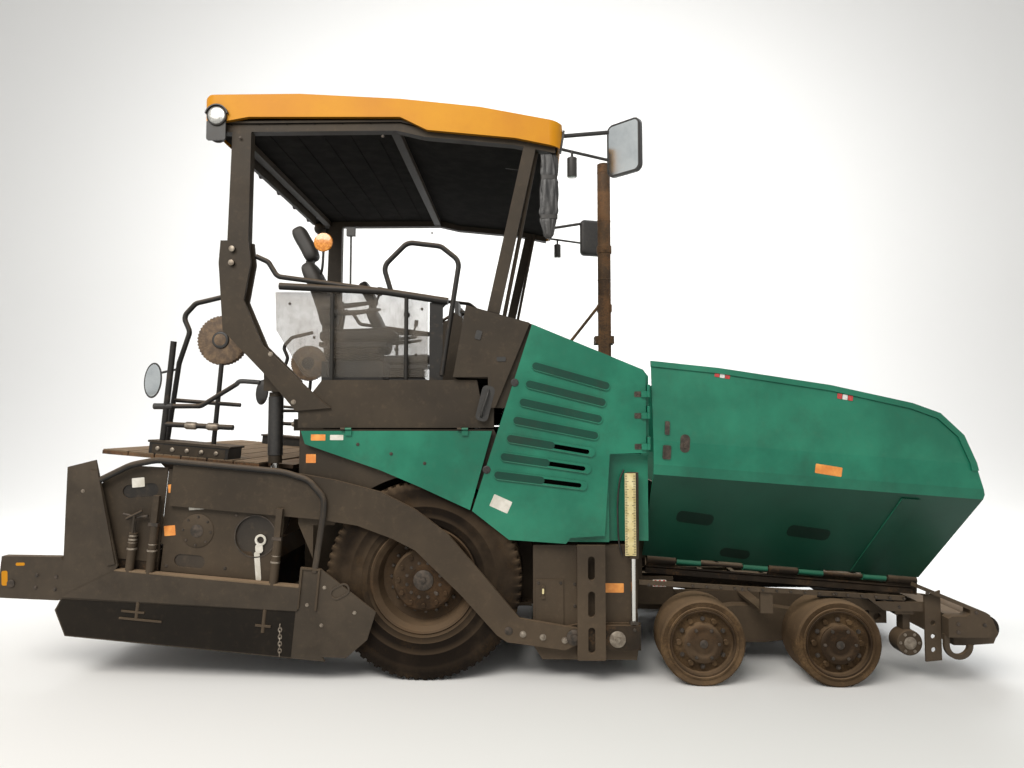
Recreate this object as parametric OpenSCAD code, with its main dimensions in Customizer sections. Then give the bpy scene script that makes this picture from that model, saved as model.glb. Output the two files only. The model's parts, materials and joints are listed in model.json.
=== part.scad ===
// Wheeled asphalt paver with canopy, hopper and extending screed.
// Millimetres. +X is forward (hopper), +Y is the driver's left, +Z is up.
// All places along the machine are measured from a drafting datum, which
// machine_shift then moves so that the origin lies under the middle.

/* [Overall] */
// Distance from the drafting datum to the middle of the machine
machine_shift = 94; // [80:1:110]
// Half the width over the tow arms and the hopper in transport
half_w = 1275; // [1270:1:1290]
// Height of the operator's floor
floor_z = 1771; // [1760:1:1785]
// Height of the top of the canopy
roof_top_z = 3885; // [3870:1:3900]

/* [Rear wheels] */
// Radius of the driven rear tyre
tyre_r = 645; // [635:1:655]
// Width of the rear tyre
tyre_w = 385; // [370:1:390]
// Place of the rear axle
rear_x = -570; // [-580:1:-560]
// Half track to the middle of the rear tyre
rear_track = 1012; // [1008:1:1016]
// Radius of the rim flange
rim_r = 345; // [335:1:350]
// Radius of the planetary hub drum
hub_r = 205; // [195:1:215]

/* [Front bogie] */
// Radius of the solid front wheels
front_r = 270; // [262:1:272]
// Width of the solid front wheels
front_w = 300; // [290:1:300]
// Place of the rear pair of front wheels
front_x1 = 1230; // [1225:1:1240]
// Place of the front pair of front wheels
front_x2 = 2088; // [2080:1:2095]
// Half distance between the kingpins
kingpin_y = 890; // [885:1:895]
// Radius of the wheel spindles
spindle_r = 40; // [36:1:44]

/* [Hopper] */
// Slope of the hopper hinges, falling to the front, in degrees
hopper_tilt = 4.3; // [4:0.1:4.6]
// Place of the hopper datum on the hinge line
hopper_x = 1000; // [995:1:1005]
// Height of the hinge line at the hopper datum
hopper_z = 700; // [695:1:705]
// Half distance between the hopper hinges
wing_hinge_y = 740; // [735:1:745]
// Thickness of the wing plates
wing_t = 12; // [10:1:15]

/* [Screed] */
// Angle by which the screed is raised for transport, in degrees
screed_raise = 5; // [4:0.1:5.2]
// Place of the tow pin
tow_x = 410; // [408:1:412]
// Height of the tow pin
tow_z = 302; // [300:1:304]
// Radius of the tow pin
tow_pin_r = 22; // [20:1:25]
// Radius of the auger flights
auger_r = 185; // [170:1:190]

/* [Fits] */
// Running clearance of a wheel or a link on its pin
running = 0.3; // [0.2:0.05:0.5]
// Thickness of the tow arms
arm_t = 32; // [28:1:33]

/* [Hidden] */
$fn = 48;

green = [0.10, 0.42, 0.36];
dark = [0.20, 0.19, 0.18];
yellow = [0.95, 0.66, 0.10];
dust = [0.42, 0.35, 0.28];
rubber = [0.16, 0.14, 0.13];
steel = [0.55, 0.55, 0.55];
rust = [0.48, 0.33, 0.24];
black = [0.06, 0.06, 0.06];
clear = [0.7, 0.75, 0.75, 0.4];

arm_y0 = half_w - 63;
arm_y1 = arm_y0 + arm_t;

// Shapes that many pieces share.

module place() translate([machine_shift, 0, 0]) children();
module both() { children(); mirror([0, 1, 0]) children(); }
module box(x0, y0, z0, x1, y1, z1) translate([x0, y0, z0]) cube([x1 - x0, y1 - y0, z1 - z0]);

// An outline in the side view (X, Z) given thickness between two Y planes.
module slab(y0, y1, pts) translate([0, y1, 0]) rotate([90, 0, 0]) linear_extrude(y1 - y0) polygon(pts);

// The same for 2-D children.
module side_extrude(y0, y1) translate([0, y1, 0]) rotate([90, 0, 0]) linear_extrude(y1 - y0) children();

// An outline in the front view (Y, Z) given length between two X planes.
module cross(x0, x1, pts) translate([x0, 0, 0]) rotate([90, 0, 90]) linear_extrude(x1 - x0) polygon(pts);

module yrod(x, z, y0, y1, r) translate([x, y1, z]) rotate([90, 0, 0]) cylinder(h = y1 - y0, r = r);
module xrod(x0, x1, y, z, r) translate([x0, y, z]) rotate([0, 90, 0]) cylinder(h = x1 - x0, r = r);
module zrod(x, y, z0, z1, r) translate([x, y, z0]) cylinder(h = z1 - z0, r = r);

module rod(a, b, r) {
    d = b - a;
    translate(a) rotate([0, acos(d.z / norm(d)), atan2(d.y, d.x)]) cylinder(h = norm(d), r = r);
}

// A stadium between two points of the side view, w wide.
module stadium(a, b, w) {
    d = b - a;
    translate(a) rotate(atan2(d.y, d.x)) {
        translate([0, -w / 2]) square([norm(d), w]);
        circle(w / 2);
        translate([norm(d), 0]) circle(w / 2);
    }
}

// A bent tube through points of a plane, its corners rounded with radius bend. The straight
// lengths reach 2 mm into elbows that are a hair thicker, as in a socket.
function turn(a, b) = let (t = atan2(b.y, b.x) - atan2(a.y, a.x)) t > 180 ? t - 360 : t < -180 ? t + 360 : t;
function unit(v) = v / norm(v);
module bent(pts, r, bend) {
    n = len(pts);
    dirs = [for (i = [0:n - 2]) unit(pts[i + 1] - pts[i])];
    turns = [for (i = [0:n - 1]) i == 0 || i == n - 1 ? 0 : turn(dirs[i - 1], dirs[i])];
    cuts = [for (t = turns) bend * tan(abs(t) / 2)];
    for (i = [0:n - 2]) {
        a = pts[i] + dirs[i] * (cuts[i] - (i > 0 ? 2 : 0));
        b = pts[i + 1] - dirs[i] * (cuts[i + 1] - (i < n - 2 ? 2 : 0));
        translate([a.x, a.y, 0]) rotate([0, 0, atan2(dirs[i].y, dirs[i].x)]) rotate([0, 90, 0])
            cylinder(h = norm(b - a), r = r);
    }
    for (i = [1:n - 2]) if (abs(turns[i]) > 0.5) {
        s = sign(turns[i]);
        heading = atan2(dirs[i - 1].y, dirs[i - 1].x);
        p = pts[i] - dirs[i - 1] * cuts[i];
        c = p + bend * s * [-sin(heading), cos(heading)];
        from = s > 0 ? heading - 90 : heading + 90 - abs(turns[i]);
        translate([c.x, c.y, 0]) rotate([0, 0, from]) rotate_extrude(angle = abs(turns[i]))
            translate([bend, 0]) circle(r + 0.4);
    }
}
// The bent tube in the side view at a Y, and in the front view at an X.
module side_tube(y, pts, r, bend) translate([0, y, 0]) rotate([90, 0, 0]) bent(pts, r, bend);

// The hopper's own frame: x along the hinges from the hopper datum.
module hopper() translate([hopper_x, 0, hopper_z]) rotate([0, hopper_tilt, 0]) children();

// Pieces of the screed are drawn flat on the ground and raised about the tow pin.
module raised() translate([tow_x, 0, tow_z]) rotate([0, screed_raise, 0]) translate([-tow_x, 0,
    -tow_z]) children();

// Chassis.

frame_in = 700;
frame_out = 725;
push_pin_x = 2750;
lug_r = 26;
lug_t = 25;
rear_lug_x = 88;
module lug(x, z, y) difference() {
    slab(y, y + lug_t, [[x - 60, z + 50], [x - 40, z - 45], [x + 40, z - 45], [x + 60, z + 50]]);
    yrod(x, z, y - 1, y + lug_t + 1, lug_r);
}
module main_frame() color(dark) place() {
    both() {
        slab(frame_in, frame_out, [[-1500, 620], [-1240, 600], [-1200, 380], [1150, 380], [1150, 575],
            [930, 575],
            [930, 860], [880, 1000], [-300, 1000], [-300, 1560], [-1400, 1560], [-1500, 1400]]);
        // beams under the hopper
        box(600, 620, 330, 2700, 660, 465);
        box(600, 660, 400, 1150, 700, 430);
        // tie-down lugs
        lug(2620, 284, 622);
        difference() {
            box(rear_lug_x - 53, frame_out, 390, rear_lug_x + 53, frame_out + 95, 390 + lug_t);
            zrod(rear_lug_x, frame_out + 50, 389, 391 + lug_t, lug_r);
        }
    }
    // cross walls behind, between the axle and the engine, and ahead of the engine
    box(-1500, -700, 1100, -1480, 700, 1400);
    box(-310, -700, 960, -290, 700, 1560);
    box(925, -700, 700, 945, 700, 860);
    // beds of the engine
    for (x = [0, 620]) box(x, -700, engine_z - 40, x + 80, 700, engine_z);
    // cross tubes under the conveyor
    for (x = [-1100, 60, 900]) box(x - 38, -700, 384, x + 38, 700, 460);
    yrod(1660, 330, -660, 660, 60);
    // front cross box
    box(2580, -620, 230, 2700, 620, 380);
    box(2640, -60, 380, 2700, 60, 437);
    // ears and pin on which the push beam swings
    for (z = [212, 412]) { box(2700, -50, z, push_pin_x, 50, z + 25); zrod(push_pin_x, 0, z, z + 25, 60); }
    zrod(push_pin_x, 0, 237, 412, 25);
}

// Bars over the front wheels, just clear of the wheels when these are steered.
module guard_rails() color(dark) place() both() {
    slab(1165, 1185, [[835, 2 * front_r + 84], [2540, 2 * front_r - 10], [2540, 558], [835, 652]]);
    for (b = [[1622, 1702, 600], [2480, 2540, 548]]) {
        box(b[0], 660, 440, b[1], 1165, 460);
        box(b[0], 1145, 460, b[1], 1165, b[2]);
    }
}

// Dark boxes below the doors.
housing_x0 = 147;
housing_x1 = 827;
rail_x0 = 429;
rail_x1 = 608;
module side_housings() color(dark) place() both() {
    slab(frame_out, 1170, [[housing_x0, 873], [housing_x0, 230], [housing_x0 + 60, 138], [820, 138],
        [housing_x1, 180], [housing_x1, 873]]);
    // raised cover with its level gauge
    box(165, 1170, 260, 345, 1178, 650);
    yrod(212, 600, 1178, 1190, 12);
    yrod(212, 540, 1178, 1190, 12);
}

// Slotted rails that guide the tow points, on feet in front of the boxes.
module tow_guides() color(dark) place() both() {
    difference() {
        box(rail_x0, half_w - 22, 166, rail_x1, half_w, 890);
        for (z = [[210, 372], [435, 599], [668, 820]])
            side_extrude(half_w - 23, half_w + 1) stadium([519, z[0] + 22], [519, z[1] - 22], 44);
    }
    for (x = [rail_x0, rail_x1 - 16]) {
        box(x, 1170, 540, x + 16, half_w - 22, 873);
        box(x, 1170, 166, x + 16, half_w - 22, 200);
    }
}

engine_z = 760;
module engine() color(steel) place() box(-60, -400, engine_z, 750, 400, 1900);

module rear_axle() color(dark) place() {
    // wheel motors on the inside of the frame, stub axles on the outside
    both() yrod(rear_x, tyre_r, 560, frame_in, 110);
    both() yrod(rear_x, tyre_r, frame_out, rear_track + 20, 110);
    both() yrod(rear_x, tyre_r, frame_out, 800, 170);
}

// Chain bars that draw the mix to the rear, over a plate on each side.
conveyor_x0 = -1225;
module conveyor() color(dark) place() {
    box(conveyor_x0, -515, 470, 2800, 515, 482);
    both() for (y = [30, 470]) box(conveyor_x0, y, 482, 2800, y + 16, 505);
    both() for (x = [conveyor_x0 + 60:240:2760]) box(x, 46, 482, x + 36, 470, 502);
    both() box(conveyor_x0, 515, 460, 2800, 530, 560);
}

module fenders() color(dark) place() both() {
    difference() {
        slab(1178, 1190, [[-1400, 1630], [-1400, 1010], [-1290, 760], [-1240, 600], [80, 600],
            [120, 1130], [-110, 1630]]);
        yrod(rear_x, tyre_r, 1177, 1191, tyre_r + 45);
        box(-1300, 1177, 0, 200, 1191, 1000);
    }
    // arch liner and the closing plates
    difference() {
        slab(frame_out, 1178, [[-1400, 1560], [-1400, 1050], [-1200, 1050], [-900, 1330], [-570, 1345],
            [-240, 1330], [60, 1060], [80, 1060], [80, 1130], [-110, 1560]]);
        yrod(rear_x, tyre_r, frame_out - 1, 1179, tyre_r + 45);
        slab(frame_out - 1, 1170, [[-1385, 1550], [-1385, 1062], [-1205, 1062], [-905, 1342], [-570, 1357],
            [-235, 1342], [65, 1072], [60, 1130], [-120, 1550]]);
    }
}

deck_x0 = -1410;
deck_x1 = -110;
module deck() color(dark) place() {
    // floor and its edge beams
    box(deck_x0, -1200, floor_z - 25, deck_x1, 1200, floor_z);
    both() box(deck_x0, 1150, 1640, deck_x1, 1200, floor_z - 25);
    box(deck_x0, -1150, 1640, deck_x0 + 30, 1150, floor_z - 25);
    both() box(-1380, frame_in, 1560, -330, frame_out, floor_z - 25);
    // fixed knuckles and pins of the flaps
    both() for (x = flap_hinges) {
        box(x - 50, 1200, 1640, x - 22, flap_hinge_y, 1646);
        box(x - 50, 1244, flap_hinge_z, x - 22, 1256, 1646);
        xrod(x - 50, x - 22, flap_hinge_y, flap_hinge_z, 10);
        xrod(x - 22, x + 20, flap_hinge_y, flap_hinge_z, 4);
    }
    // side boxes that carry the seats
    both() slab(840, 1200, [[-1397, floor_z], [-1253, 1957], [-222, 1956], [-188, floor_z]]);
    // step at the back
    box(-1700, -420, 1610, deck_x0, 420, 1630);
    both() box(-1700, 400, 1630, deck_x0, 420, 1700);
}

// Gooseneck plates that carry the canopy posts behind the deck.
module post_brackets() color(dark) place() both() difference() {
    union() {
        // ear and pin of the lift cylinder
        slab(1108, 1130, [[lift_x - 60, lift_top_z + 110], [lift_x - 60, lift_top_z - 40],
            [lift_x + 50, lift_top_z - 50],
            [lift_x + 90, lift_top_z - 30]]);
        yrod(lift_x, lift_top_z, 1010, 1108, 25);
        slab(1200, 1222, [[-1945, 2895], [-1756, 2894], [-1739, 2745], [-1781, 2490], [-1648, 2188],
            [-1253, 1820], [-1188, 1771], [-1420, 1751], [-1644, 2009], [-1918, 2289], [-1955, 2746]]);
        slab(1108, 1130, [[-1945, 2895], [-1756, 2894], [-1739, 2745], [-1781, 2490], [-1648, 2188],
            [-1412, 1957], [-1412, 1765], [-1430, 1751], [-1644, 2009], [-1918, 2289], [-1955, 2746]]);
        slab(1130, 1200, [[-1955, 2680], [-1918, 2289], [-1644, 2009], [-1420, 1751], [-1413, 1758],
            [-1632, 2020], [-1900, 2296], [-1935, 2680]]);
    }
    for (p = [[-1593, 2128], [-1434, 1810]]) yrod(p.x, p.y, 1199, 1223, 16);
}

module canopy_frame() color(dark) place() {
    // rear posts, pinned twice in the brackets
    both() {
        slab(1130, 1200, [[-1930, 2690], [-1780, 2690], [-1767, 2900], [-1761, 3645], [-1890, 3645],
            [-1909, 2900]]);
        for (p = [[-1860, 2834], [-1862, 2740]]) yrod(p.x, p.y, 1222, 1240, 20);
        // front struts
        slab(1150, 1200, [[95, 3560], [175, 3545], [-75, 2396], [-155, 2418]]);
        rod([184, 1130, 3562], [-45, 1130, 2382.8], 14);
    }
    // rails and cross members under the roof
    both() slab(1131, 1199, [[-1960, 3645], [-770, 3645], [-580, 3600], [20, 3540], [300, 3480], [300, 3532],
        [31, 3590], [-558, 3650], [-745, 3700], [-1960, 3700]]);
    for (x = [-1930, -820]) box(x, -1131, 3650, x + 60, 1131, 3700);
    // lining, with webs up to the roof
    slab(-1213, 1213, [[-2050, 3700], [-745, 3700], [-558, 3650], [31, 3590], [312, 3530], [312, 3545],
        [31, 3605],
        [-558, 3665], [-745, 3715], [-2050, 3715]]);
    for (y = [-612, 600]) slab(y, y + 12, [[-2040, 3715], [-745, 3715], [-558, 3665], [300, 3547],
        [300, 3650],
        [-204, 3752], [-741, 3813], [-1418, 3855], [-2035, 3855]]);
    // light bar across the back, and the round lamps at the corners
    box(-1985, -900, 3600, -1960, 900, 3700);
    for (y = [-800:400:800]) xrod(-2010, -1985, y, 3640, 36);
    both() translate([-2000, 1180, 3640]) sphere(r = 58);
}

roof_t = 26;
module roof() color(yellow) place() difference() {
    intersection() {
        slab(-1245, 1245, [[-2085, 3850], [-2070, 3872], [-2031, roof_top_z], [-1418, roof_top_z],
            [-741, 3844],
            [-204, 3783], [344, 3675], [352, 3640], [330, 3505], [31, 3569], [-558, 3629], [-740, 3720],
            [-1762, 3730], [-2060, 3678]]);
        // corners rounded in plan
        linear_extrude(4000) {
            translate([-1990, -1245]) square([2240, 2490]);
            translate([-2085, -1150]) square([2437, 2300]);
            for (x = [-1990, 257], y = [-1150, 1150]) translate([x, y]) circle(95);
        }
    }
    slab(-1215, 1215, [[-2058, 3600], [-2058, 3835], [-2031, roof_top_z - roof_t],
        [-1418, roof_top_z - roof_t],
        [-741, 3818], [-204, 3757], [315, 3652], [318, 3500], [0, 3400]]);
}

module mirrors() color(black) place() both() {
    box(700, 1080, 3342, 760, 1250, 3702);
    slab(1120, 1190, [[352.3, 3640], [330.3, 3505], [344, 3503], [366, 3638]]);
    rod([355, 1140, 3620], [705, 1170, 3665], 14);
    rod([338, 1165, 3520], [705, 1165, 3465], 10);
}

// Panels of the engine cover that don't open, and the walls between which the doors close.
door_hinge_x = 897;
door_hinge_y = 1257;
door_hinges = [1500, 1700, 1840];
module hood() color(green) place() {
    difference() {
        slab(-1205, 1205, [[146, 2325], [871, 2023], [905, 1978], [905, 900], [146, 900]]);
        slab(-1191, 1191, [[140, 2313], [865, 2011], [893, 1972], [893, 899], [140, 899]]);
        both() slab(1190, 1206, [[160, 2290], [855, 2000], [855, 1460], [630, 1460], [600, 960], [160, 960]]);
        box(880, -730, 890, 910, 730, 1005);
        both() box(642, 1150, 899, 906, 1206, 1462);
    }
    // recess for the levelling cylinder, and the door hinges
    both() {
        box(642, 1138, 900, 893, 1150, 1470);
        box(642, 1150, 1462, 893, 1191, 1470);
        for (z = door_hinges) {
            box(890, 1205, z + 41, 904, door_hinge_y, z + 81);
            zrod(door_hinge_x, door_hinge_y, z + 41, z + 81, 11);
            zrod(door_hinge_x, door_hinge_y, z - 2, z + 41, 5);
        }
    }
}

module hood_shoulders() color(dark) place() {
    both() slab(1205, 1240, [[-293, 2449], [128, 2330], [-100, floor_z], [-146, floor_z], [-147, 1973],
        [-377, 1973]]);
    // cover between them with the sloping instrument wall
    difference() {
        slab(-1205, 1205, [[-293, 2449], [128, 2330], [146, 2325], [146, floor_z], [-130, floor_z],
            [-146, 1965], [-377, 1973]]);
        slab(-1193, 1193, [[-285, 2436], [128, 2317], [147, 2312], [147, floor_z - 1],
            [-118, floor_z - 1], [-136, 1977],
            [-364, 1985]]);
    }
    // wall between the engine and the space under the deck
    box(-290, -690, 1010, -278, 690, floor_z - 25);
}

// Operator's place.

module handrails() color(black) place() both() {
    // rail from the post bracket forward over the glass
    side_tube(1165, [[-1724, 2798], [-1640, 2760], [-1578, 2660], [-889, 2564]], 17, 60);
    // entry hoop
    side_tube(1165, [[-800, 2540], [-857, 2725], [-695, 2888], [-470, 2860], [-345, 2760],
        [-460, 1990]], 17, 80);
    box(-545, 1150, 1957, -455, 1158, 2480);
    // thick bar under the hoop
    side_tube(1165, [[-1560, 2594], [-860, 2556], [-420, 2486]], 24, 200);
    for (x = [-1200, -700]) {
        zrod(x, 1165, 1957, 2540, 14);
        yrod(x, 2400, 1132.3, 1160, 20);
        yrod(x, 2080, 1132.3, 1160, 20);
    }
}

module side_glass() color(clear) place() both() slab(1126, 1132, [[-1600, 2560], [-1590, 2300], [-1400, 1990],
    [-1370, 1979], [-560, 1979], [-560, 2520], [-900, 2555]]);

module seats() color(black) place() both() {
    // plinth with bellows
    box(-1290, 860, 1957, -870, 1110, 2090);
    for (z = [2090:34:2200]) {
        box(-1270, 880, z, -890, 1090, z + 24);
        box(-1255, 895, z + 24, -905, 1075, z + 34);
    }
    // cushion, back and headrest
    slab(840, 1105, [[-1330, 2226], [-820, 2226], [-790, 2270], [-800, 2320], [-1300, 2330]]);
    slab(850, 1095, [[-1320, 2322], [-1212, 2322], [-1340, 2760], [-1400, 2790], [-1460, 2770]]);
    slab(900, 1045, [[-1425, 2796], [-1345, 2796], [-1450, 3040], [-1510, 3050], [-1535, 3010]]);
    slab(950, 995, [[-1440, 2755], [-1400, 2770], [-1385, 2802], [-1440, 2802]]);
    for (y = [812, 1108]) slab(y, y + 16, [[-1310, 2436], [-960, 2470], [-940, 2500], [-1310, 2480]]);
    yrod(-1290, 2458, 812, 1124, 12);
}

// Sliding control console that spans between the seats.
module console() color(dark) place() {
    slab(-420, 420, [[-560, floor_z], [-400, floor_z], [-400, 2330], [-390, 2480], [-440, 2520],
        [-600, 2400], [-580, 2330]]);
    translate([-520, 0, 2470]) rotate([0, -30, 0]) {
        translate([0, 0, -40]) cylinder(h = 100, r = 18);
        translate([0, 0, 60]) rotate_extrude() translate([150, 0]) circle(12);
        for (a = [0, 120, 240]) rotate([0, 0, a]) translate([0, -8, 54]) cube([150, 16, 10]);
    }
}

module exhaust_stack() color(rust) place() difference() {
    union() {
        zrod(732, -200, 2040, 3767, 52);
        box(650, -270, 2300, 800, -130, 2360);
    }
    zrod(732, -200, 2400, 3770, 46);
    // foot cut to the slope of the engine cover
    slab(-300, -100, [[146, 2325], [871, 2023], [871, 1900], [146, 1900]]);
}

// Hopper.

wing_len = 1853;
module hopper_frame() color(dark) place() {
    hopper() {
        // floor plates from the hinges down to the conveyor
        both() cross(-40, wing_len, [[535, -128], [735, -52], [735, -40], [535, -116]]);
        // hinge knuckles and pins
        both() for (x = [[-40, 160], [820, 1020], [wing_len - 200, wing_len]]) {
            xrod(x[0], x[1], wing_hinge_y, 0, 28);
            cross(x[0], x[1], [[722, -45], [735, -45], [750, -20], [730, -10]]);
        }
        both() xrod(-40, wing_len, wing_hinge_y, 0, 14);
        // edge beams
        both() box(-40, 690, -100, wing_len + 6, 722, -62);
        // front lip
        box(wing_len + 6, -735, -100, wing_len + 18, 735, -20);
    }
    // back wall between the wings
    cross(945, 957, [[-699, 640], [699, 640], [699, 995], [900, 1010], [1060, 1210], [1060, 1280],
        [-1060, 1280],
        [-1060, 1210], [-900, 1010], [-699, 995]]);
}

// Skin of a wing between two offsets outward of its inside face.
function wing_line(t) = [[wing_hinge_y + 28, 40 - t], [1238 + t, 640 - t / 2], [1250 + t, 700],
    [1247 + t, 855],
    [1178 + t, 1372]];
module wing_skin(t0, t1) cross(-400, 2200, concat(wing_line(t1), [for (i = [4:-1:0]) wing_line(t0)[i]]));
wing_side = [[-75, 0], [wing_len, 0], [1980, 666], [1928, 816], [1914, 866], [1842, 1035], [1696, 1167],
    [1520, 1219],
    [993, 1298], [268, 1357], [-178, 1372]];
// Lower edge of the thick rim that runs along the top and the front corner.
rim_side = concat([for (i = [10:-1:3]) wing_side[i]], [[1886, 812], [1872, 862], [1803, 1022],
    [1676, 1132], [1510, 1182],
    [990, 1261], [268, 1320], [-175, 1335]]);
module wing() place() hopper() {
    intersection() {
        wing_skin(0, wing_t);
        slab(700, 1300, wing_side);
    }
    intersection() {
        wing_skin(-14, wing_t + 12);
        slab(700, 1300, rim_side);
    }
    // stiffener at the front and ribs inside
    intersection() {
        wing_skin(wing_t, wing_t + 10);
        slab(700, 1300, [[1380, 40], [1500, 40], [1590, 600], [1475, 600]]);
    }
    for (x = [[170, 340], [640, 810], [1030, 1200], [1480, 1640]]) difference() {
        union() {
            xrod(x[0], x[1], wing_hinge_y, 0, 26);
            cross(x[0], x[1], [[748, 20], [754, 10], [790, 62], [770, 52]]);
        }
        xrod(x[0] - 1, x[1] + 1, wing_hinge_y, 0, 14 + running);
    }
}
module wing_right() color(green) mirror([0, 1, 0]) wing();
module wing_left() color(green) wing();

// Bogie, steering and front wheels.

module bogie_beams() color(dark) place() both() {
    difference() {
        union() {
            slab(720, 820, [[1130, 200], [1560, 150], [1760, 150], [2190, 200], [2190, 340],
                [1760, 400], [1560, 400], [1130, 340]]);
            yrod(1660, 330, 660, 720, 50);
            for (x = [front_x1, front_x2], z = [170, 345]) {
                box(x - 40, 820, z, x + 40, kingpin_y, z + 25);
                zrod(x, kingpin_y, z, z + 25, 42);
            }
        }
    }
    for (x = [front_x1, front_x2]) zrod(x, kingpin_y, 195, 345, 20);
}

module knuckle(x) place() difference() {
    union() {
        zrod(x, kingpin_y, 196, 344, 44);
        yrod(x, front_r, kingpin_y, half_w - 60, spindle_r);
    }
    zrod(x, kingpin_y, 190, 350, 20 + running);
}
module knuckle_right_front() color(dark) mirror([0, 1, 0]) knuckle(front_x2);
module knuckle_right_rear() color(dark) mirror([0, 1, 0]) knuckle(front_x1);
module knuckle_left_front() color(dark) knuckle(front_x2);
module knuckle_left_rear() color(dark) knuckle(front_x1);

// Solid rubber ring on a steel drum with a recessed face.
module front_wheel(x) place() translate([x, half_w - 13, front_r]) rotate([90, 0, 0]) {
    rotate_extrude() polygon([[spindle_r + running, 40], [110, 40], [125, 55], [190, 60], [215, 8],
        [225, 8], [228, 16],
        [258, 10], [front_r, 24], [front_r, front_w - 24], [258, front_w - 10], [228, front_w],
            [215, front_w - 4],
        [205, front_w - 60], [spindle_r + running, front_w - 60]]);
    rotate_extrude() polygon([[0, 12], [70, 12], [80, 22], [80, 40.5], [0, 40.5]]);
    for (a = [0:60:300]) rotate([0, 0, a]) translate([150, 0, 34]) cylinder(h = 28, r = 16);
}
module front_wheel_right_front() color(dust) mirror([0, 1, 0]) front_wheel(front_x2);
module front_wheel_right_rear() color(dust) mirror([0, 1, 0]) front_wheel(front_x1);
module front_wheel_left_front() color(dust) front_wheel(front_x2);
module front_wheel_left_rear() color(dust) front_wheel(front_x1);

// Rear wheels.

module tyre(side) place() translate([rear_x, side * rear_track, tyre_r]) rotate([90, 0, 0]) rotate_extrude()
    polygon(concat(
        [[rim_r - 20, 150], [rim_r + 8, 168], [rim_r + 75, 186]],
        [for (a = [0:15:90]) [tyre_r - 60 + 60 * sin(a), tyre_w / 2 - 30 + 30 * cos(a)]],
        [for (a = [90:-15:0]) [tyre_r - 60 + 60 * sin(a), -tyre_w / 2 + 30 - 30 * cos(a)]],
        [[rim_r + 75, -186], [rim_r + 8, -168], [rim_r - 20, -150]]));
module tyre_right() color(rubber) tyre(-1);
module tyre_left() color(rubber) tyre(1);

module rim() place() translate([rear_x, rear_track, tyre_r]) rotate([-90, 0, 0]) {
    rotate_extrude() polygon([[rim_r - 30, -165], [rim_r + 8, -168], [rim_r - 20, -150], [rim_r - 20, 150],
        [rim_r + 8, 168], [rim_r, 176], [rim_r - 12, 170], [rim_r - 40, 140], [rim_r - 60, 60], [hub_r, 40],
        [hub_r, 24], [rim_r - 50, 40]]);
    // planetary hub drum on the fixed axle end
    rotate_extrude() polygon([[110 + running, -150], [180, -150], [180, 20], [hub_r, 24], [hub_r, 150],
        [hub_r - 15, 168],
        [90, 176], [0, 176], [0, 26], [110 + running, 26]]);
    for (a = [0:30:330]) rotate([0, 0, a]) translate([165, 0, 160]) cylinder(h = 24, r = 14);
}
module rim_right() color(dust) mirror([0, 1, 0]) rim();
module rim_left() color(dust) rim();

// Push rollers.

roller_x = 3094;
roller_z = 334;
roller_r = 85;
roller_y = [520, 1110];
module push_beam() color(dark) place() {
    box(2860, -1150, 240, 2990, 1150, 415);
    difference() {
        union() {
            slab(-150, 150, [[2770, 245], [2860, 240], [2860, 405], [2770, 400]]);
            zrod(push_pin_x, 0, 242, 407, 50);
        }
        zrod(push_pin_x, 0, 241, 416, 25 + running);
    }
    both() for (y = [roller_y[0] - 32, roller_y[1] + 6])
        difference() {
            slab(y, y + 26, [[2990, 240], [3120, 250], [3150, 320], [3120, 400], [2990, 415]]);
        }
    both() yrod(roller_x, roller_z, roller_y[0] - 6, roller_y[1] + 6, 24);
}
module push_roller() place() difference() {
    yrod(roller_x, roller_z, roller_y[0], roller_y[1], roller_r);
    yrod(roller_x, roller_z, roller_y[0] - 1, roller_y[1] + 1, 24 + running);
}
module push_roller_right() color(dust) mirror([0, 1, 0]) push_roller();
module push_roller_left() color(dust) push_roller();

// Augers.

auger_x = -1440;
auger_z = 390;
module auger_frame() color(dark) place() {
    box(-1540, -58, 300, -1340, 58, 480);
    both() yrod(auger_x, auger_z, 58, 120, 30);
    for (y = [-52, 36]) slab(y, y + 16, [[-1520, 480], [-1360, 480], [-1330, 700], [-1330, 1100],
        [-1480, 1100], [-1520, 700]]);
    box(-1480, -300, 1060, -1330, 300, 1100);
    both() box(-1480, 300, 1060, -1440, frame_in, 1100);
}

// One flight as a ribbon wound about the shaft, hand = 1 or -1.
flight_pitch = 360;
flight_turns = 3;
flight_steps = 24;
module flight(hand) {
    n = flight_turns * flight_steps;
    pts = [for (i = [0:n]) let (a = 360 * i / flight_steps * hand, y = flight_pitch * i / flight_steps)
        for (q = [[45, -8], [auger_r, -4], [auger_r, 4], [45, 8]])
        [q.x * cos(a), y + q.y, q.x * sin(a)]];
    sides = [for (i = [0:n - 1], k = [0:3]) let (k2 = (k + 1) % 4)
        [4 * i + k, 4 * i + k2, 4 * i + 4 + k2, 4 * i + 4 + k]];
    tris = [for (q = sides) each [[q[0], q[1], q[2]], [q[0], q[2], q[3]]]];
    ends = [[0, 3, 2], [0, 2, 1], [4 * n, 4 * n + 1, 4 * n + 2], [4 * n, 4 * n + 2, 4 * n + 3]];
    all = concat(tris, ends);
    polyhedron(pts, hand < 0 ? all : [for (f = all) [f[2], f[1], f[0]]]);
}
module auger(hand) place() translate([auger_x, 0, auger_z]) {
    difference() {
        yrod(0, 0, 64, 1185, 50);
        yrod(0, 0, 63, 130, 30 + running);
    }
    translate([0, 78, 0]) flight(hand);
}
module auger_right() color(dust) mirror([0, 1, 0]) auger(1);
module auger_left() color(dust) auger(1);

// Doors and flaps.

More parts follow.
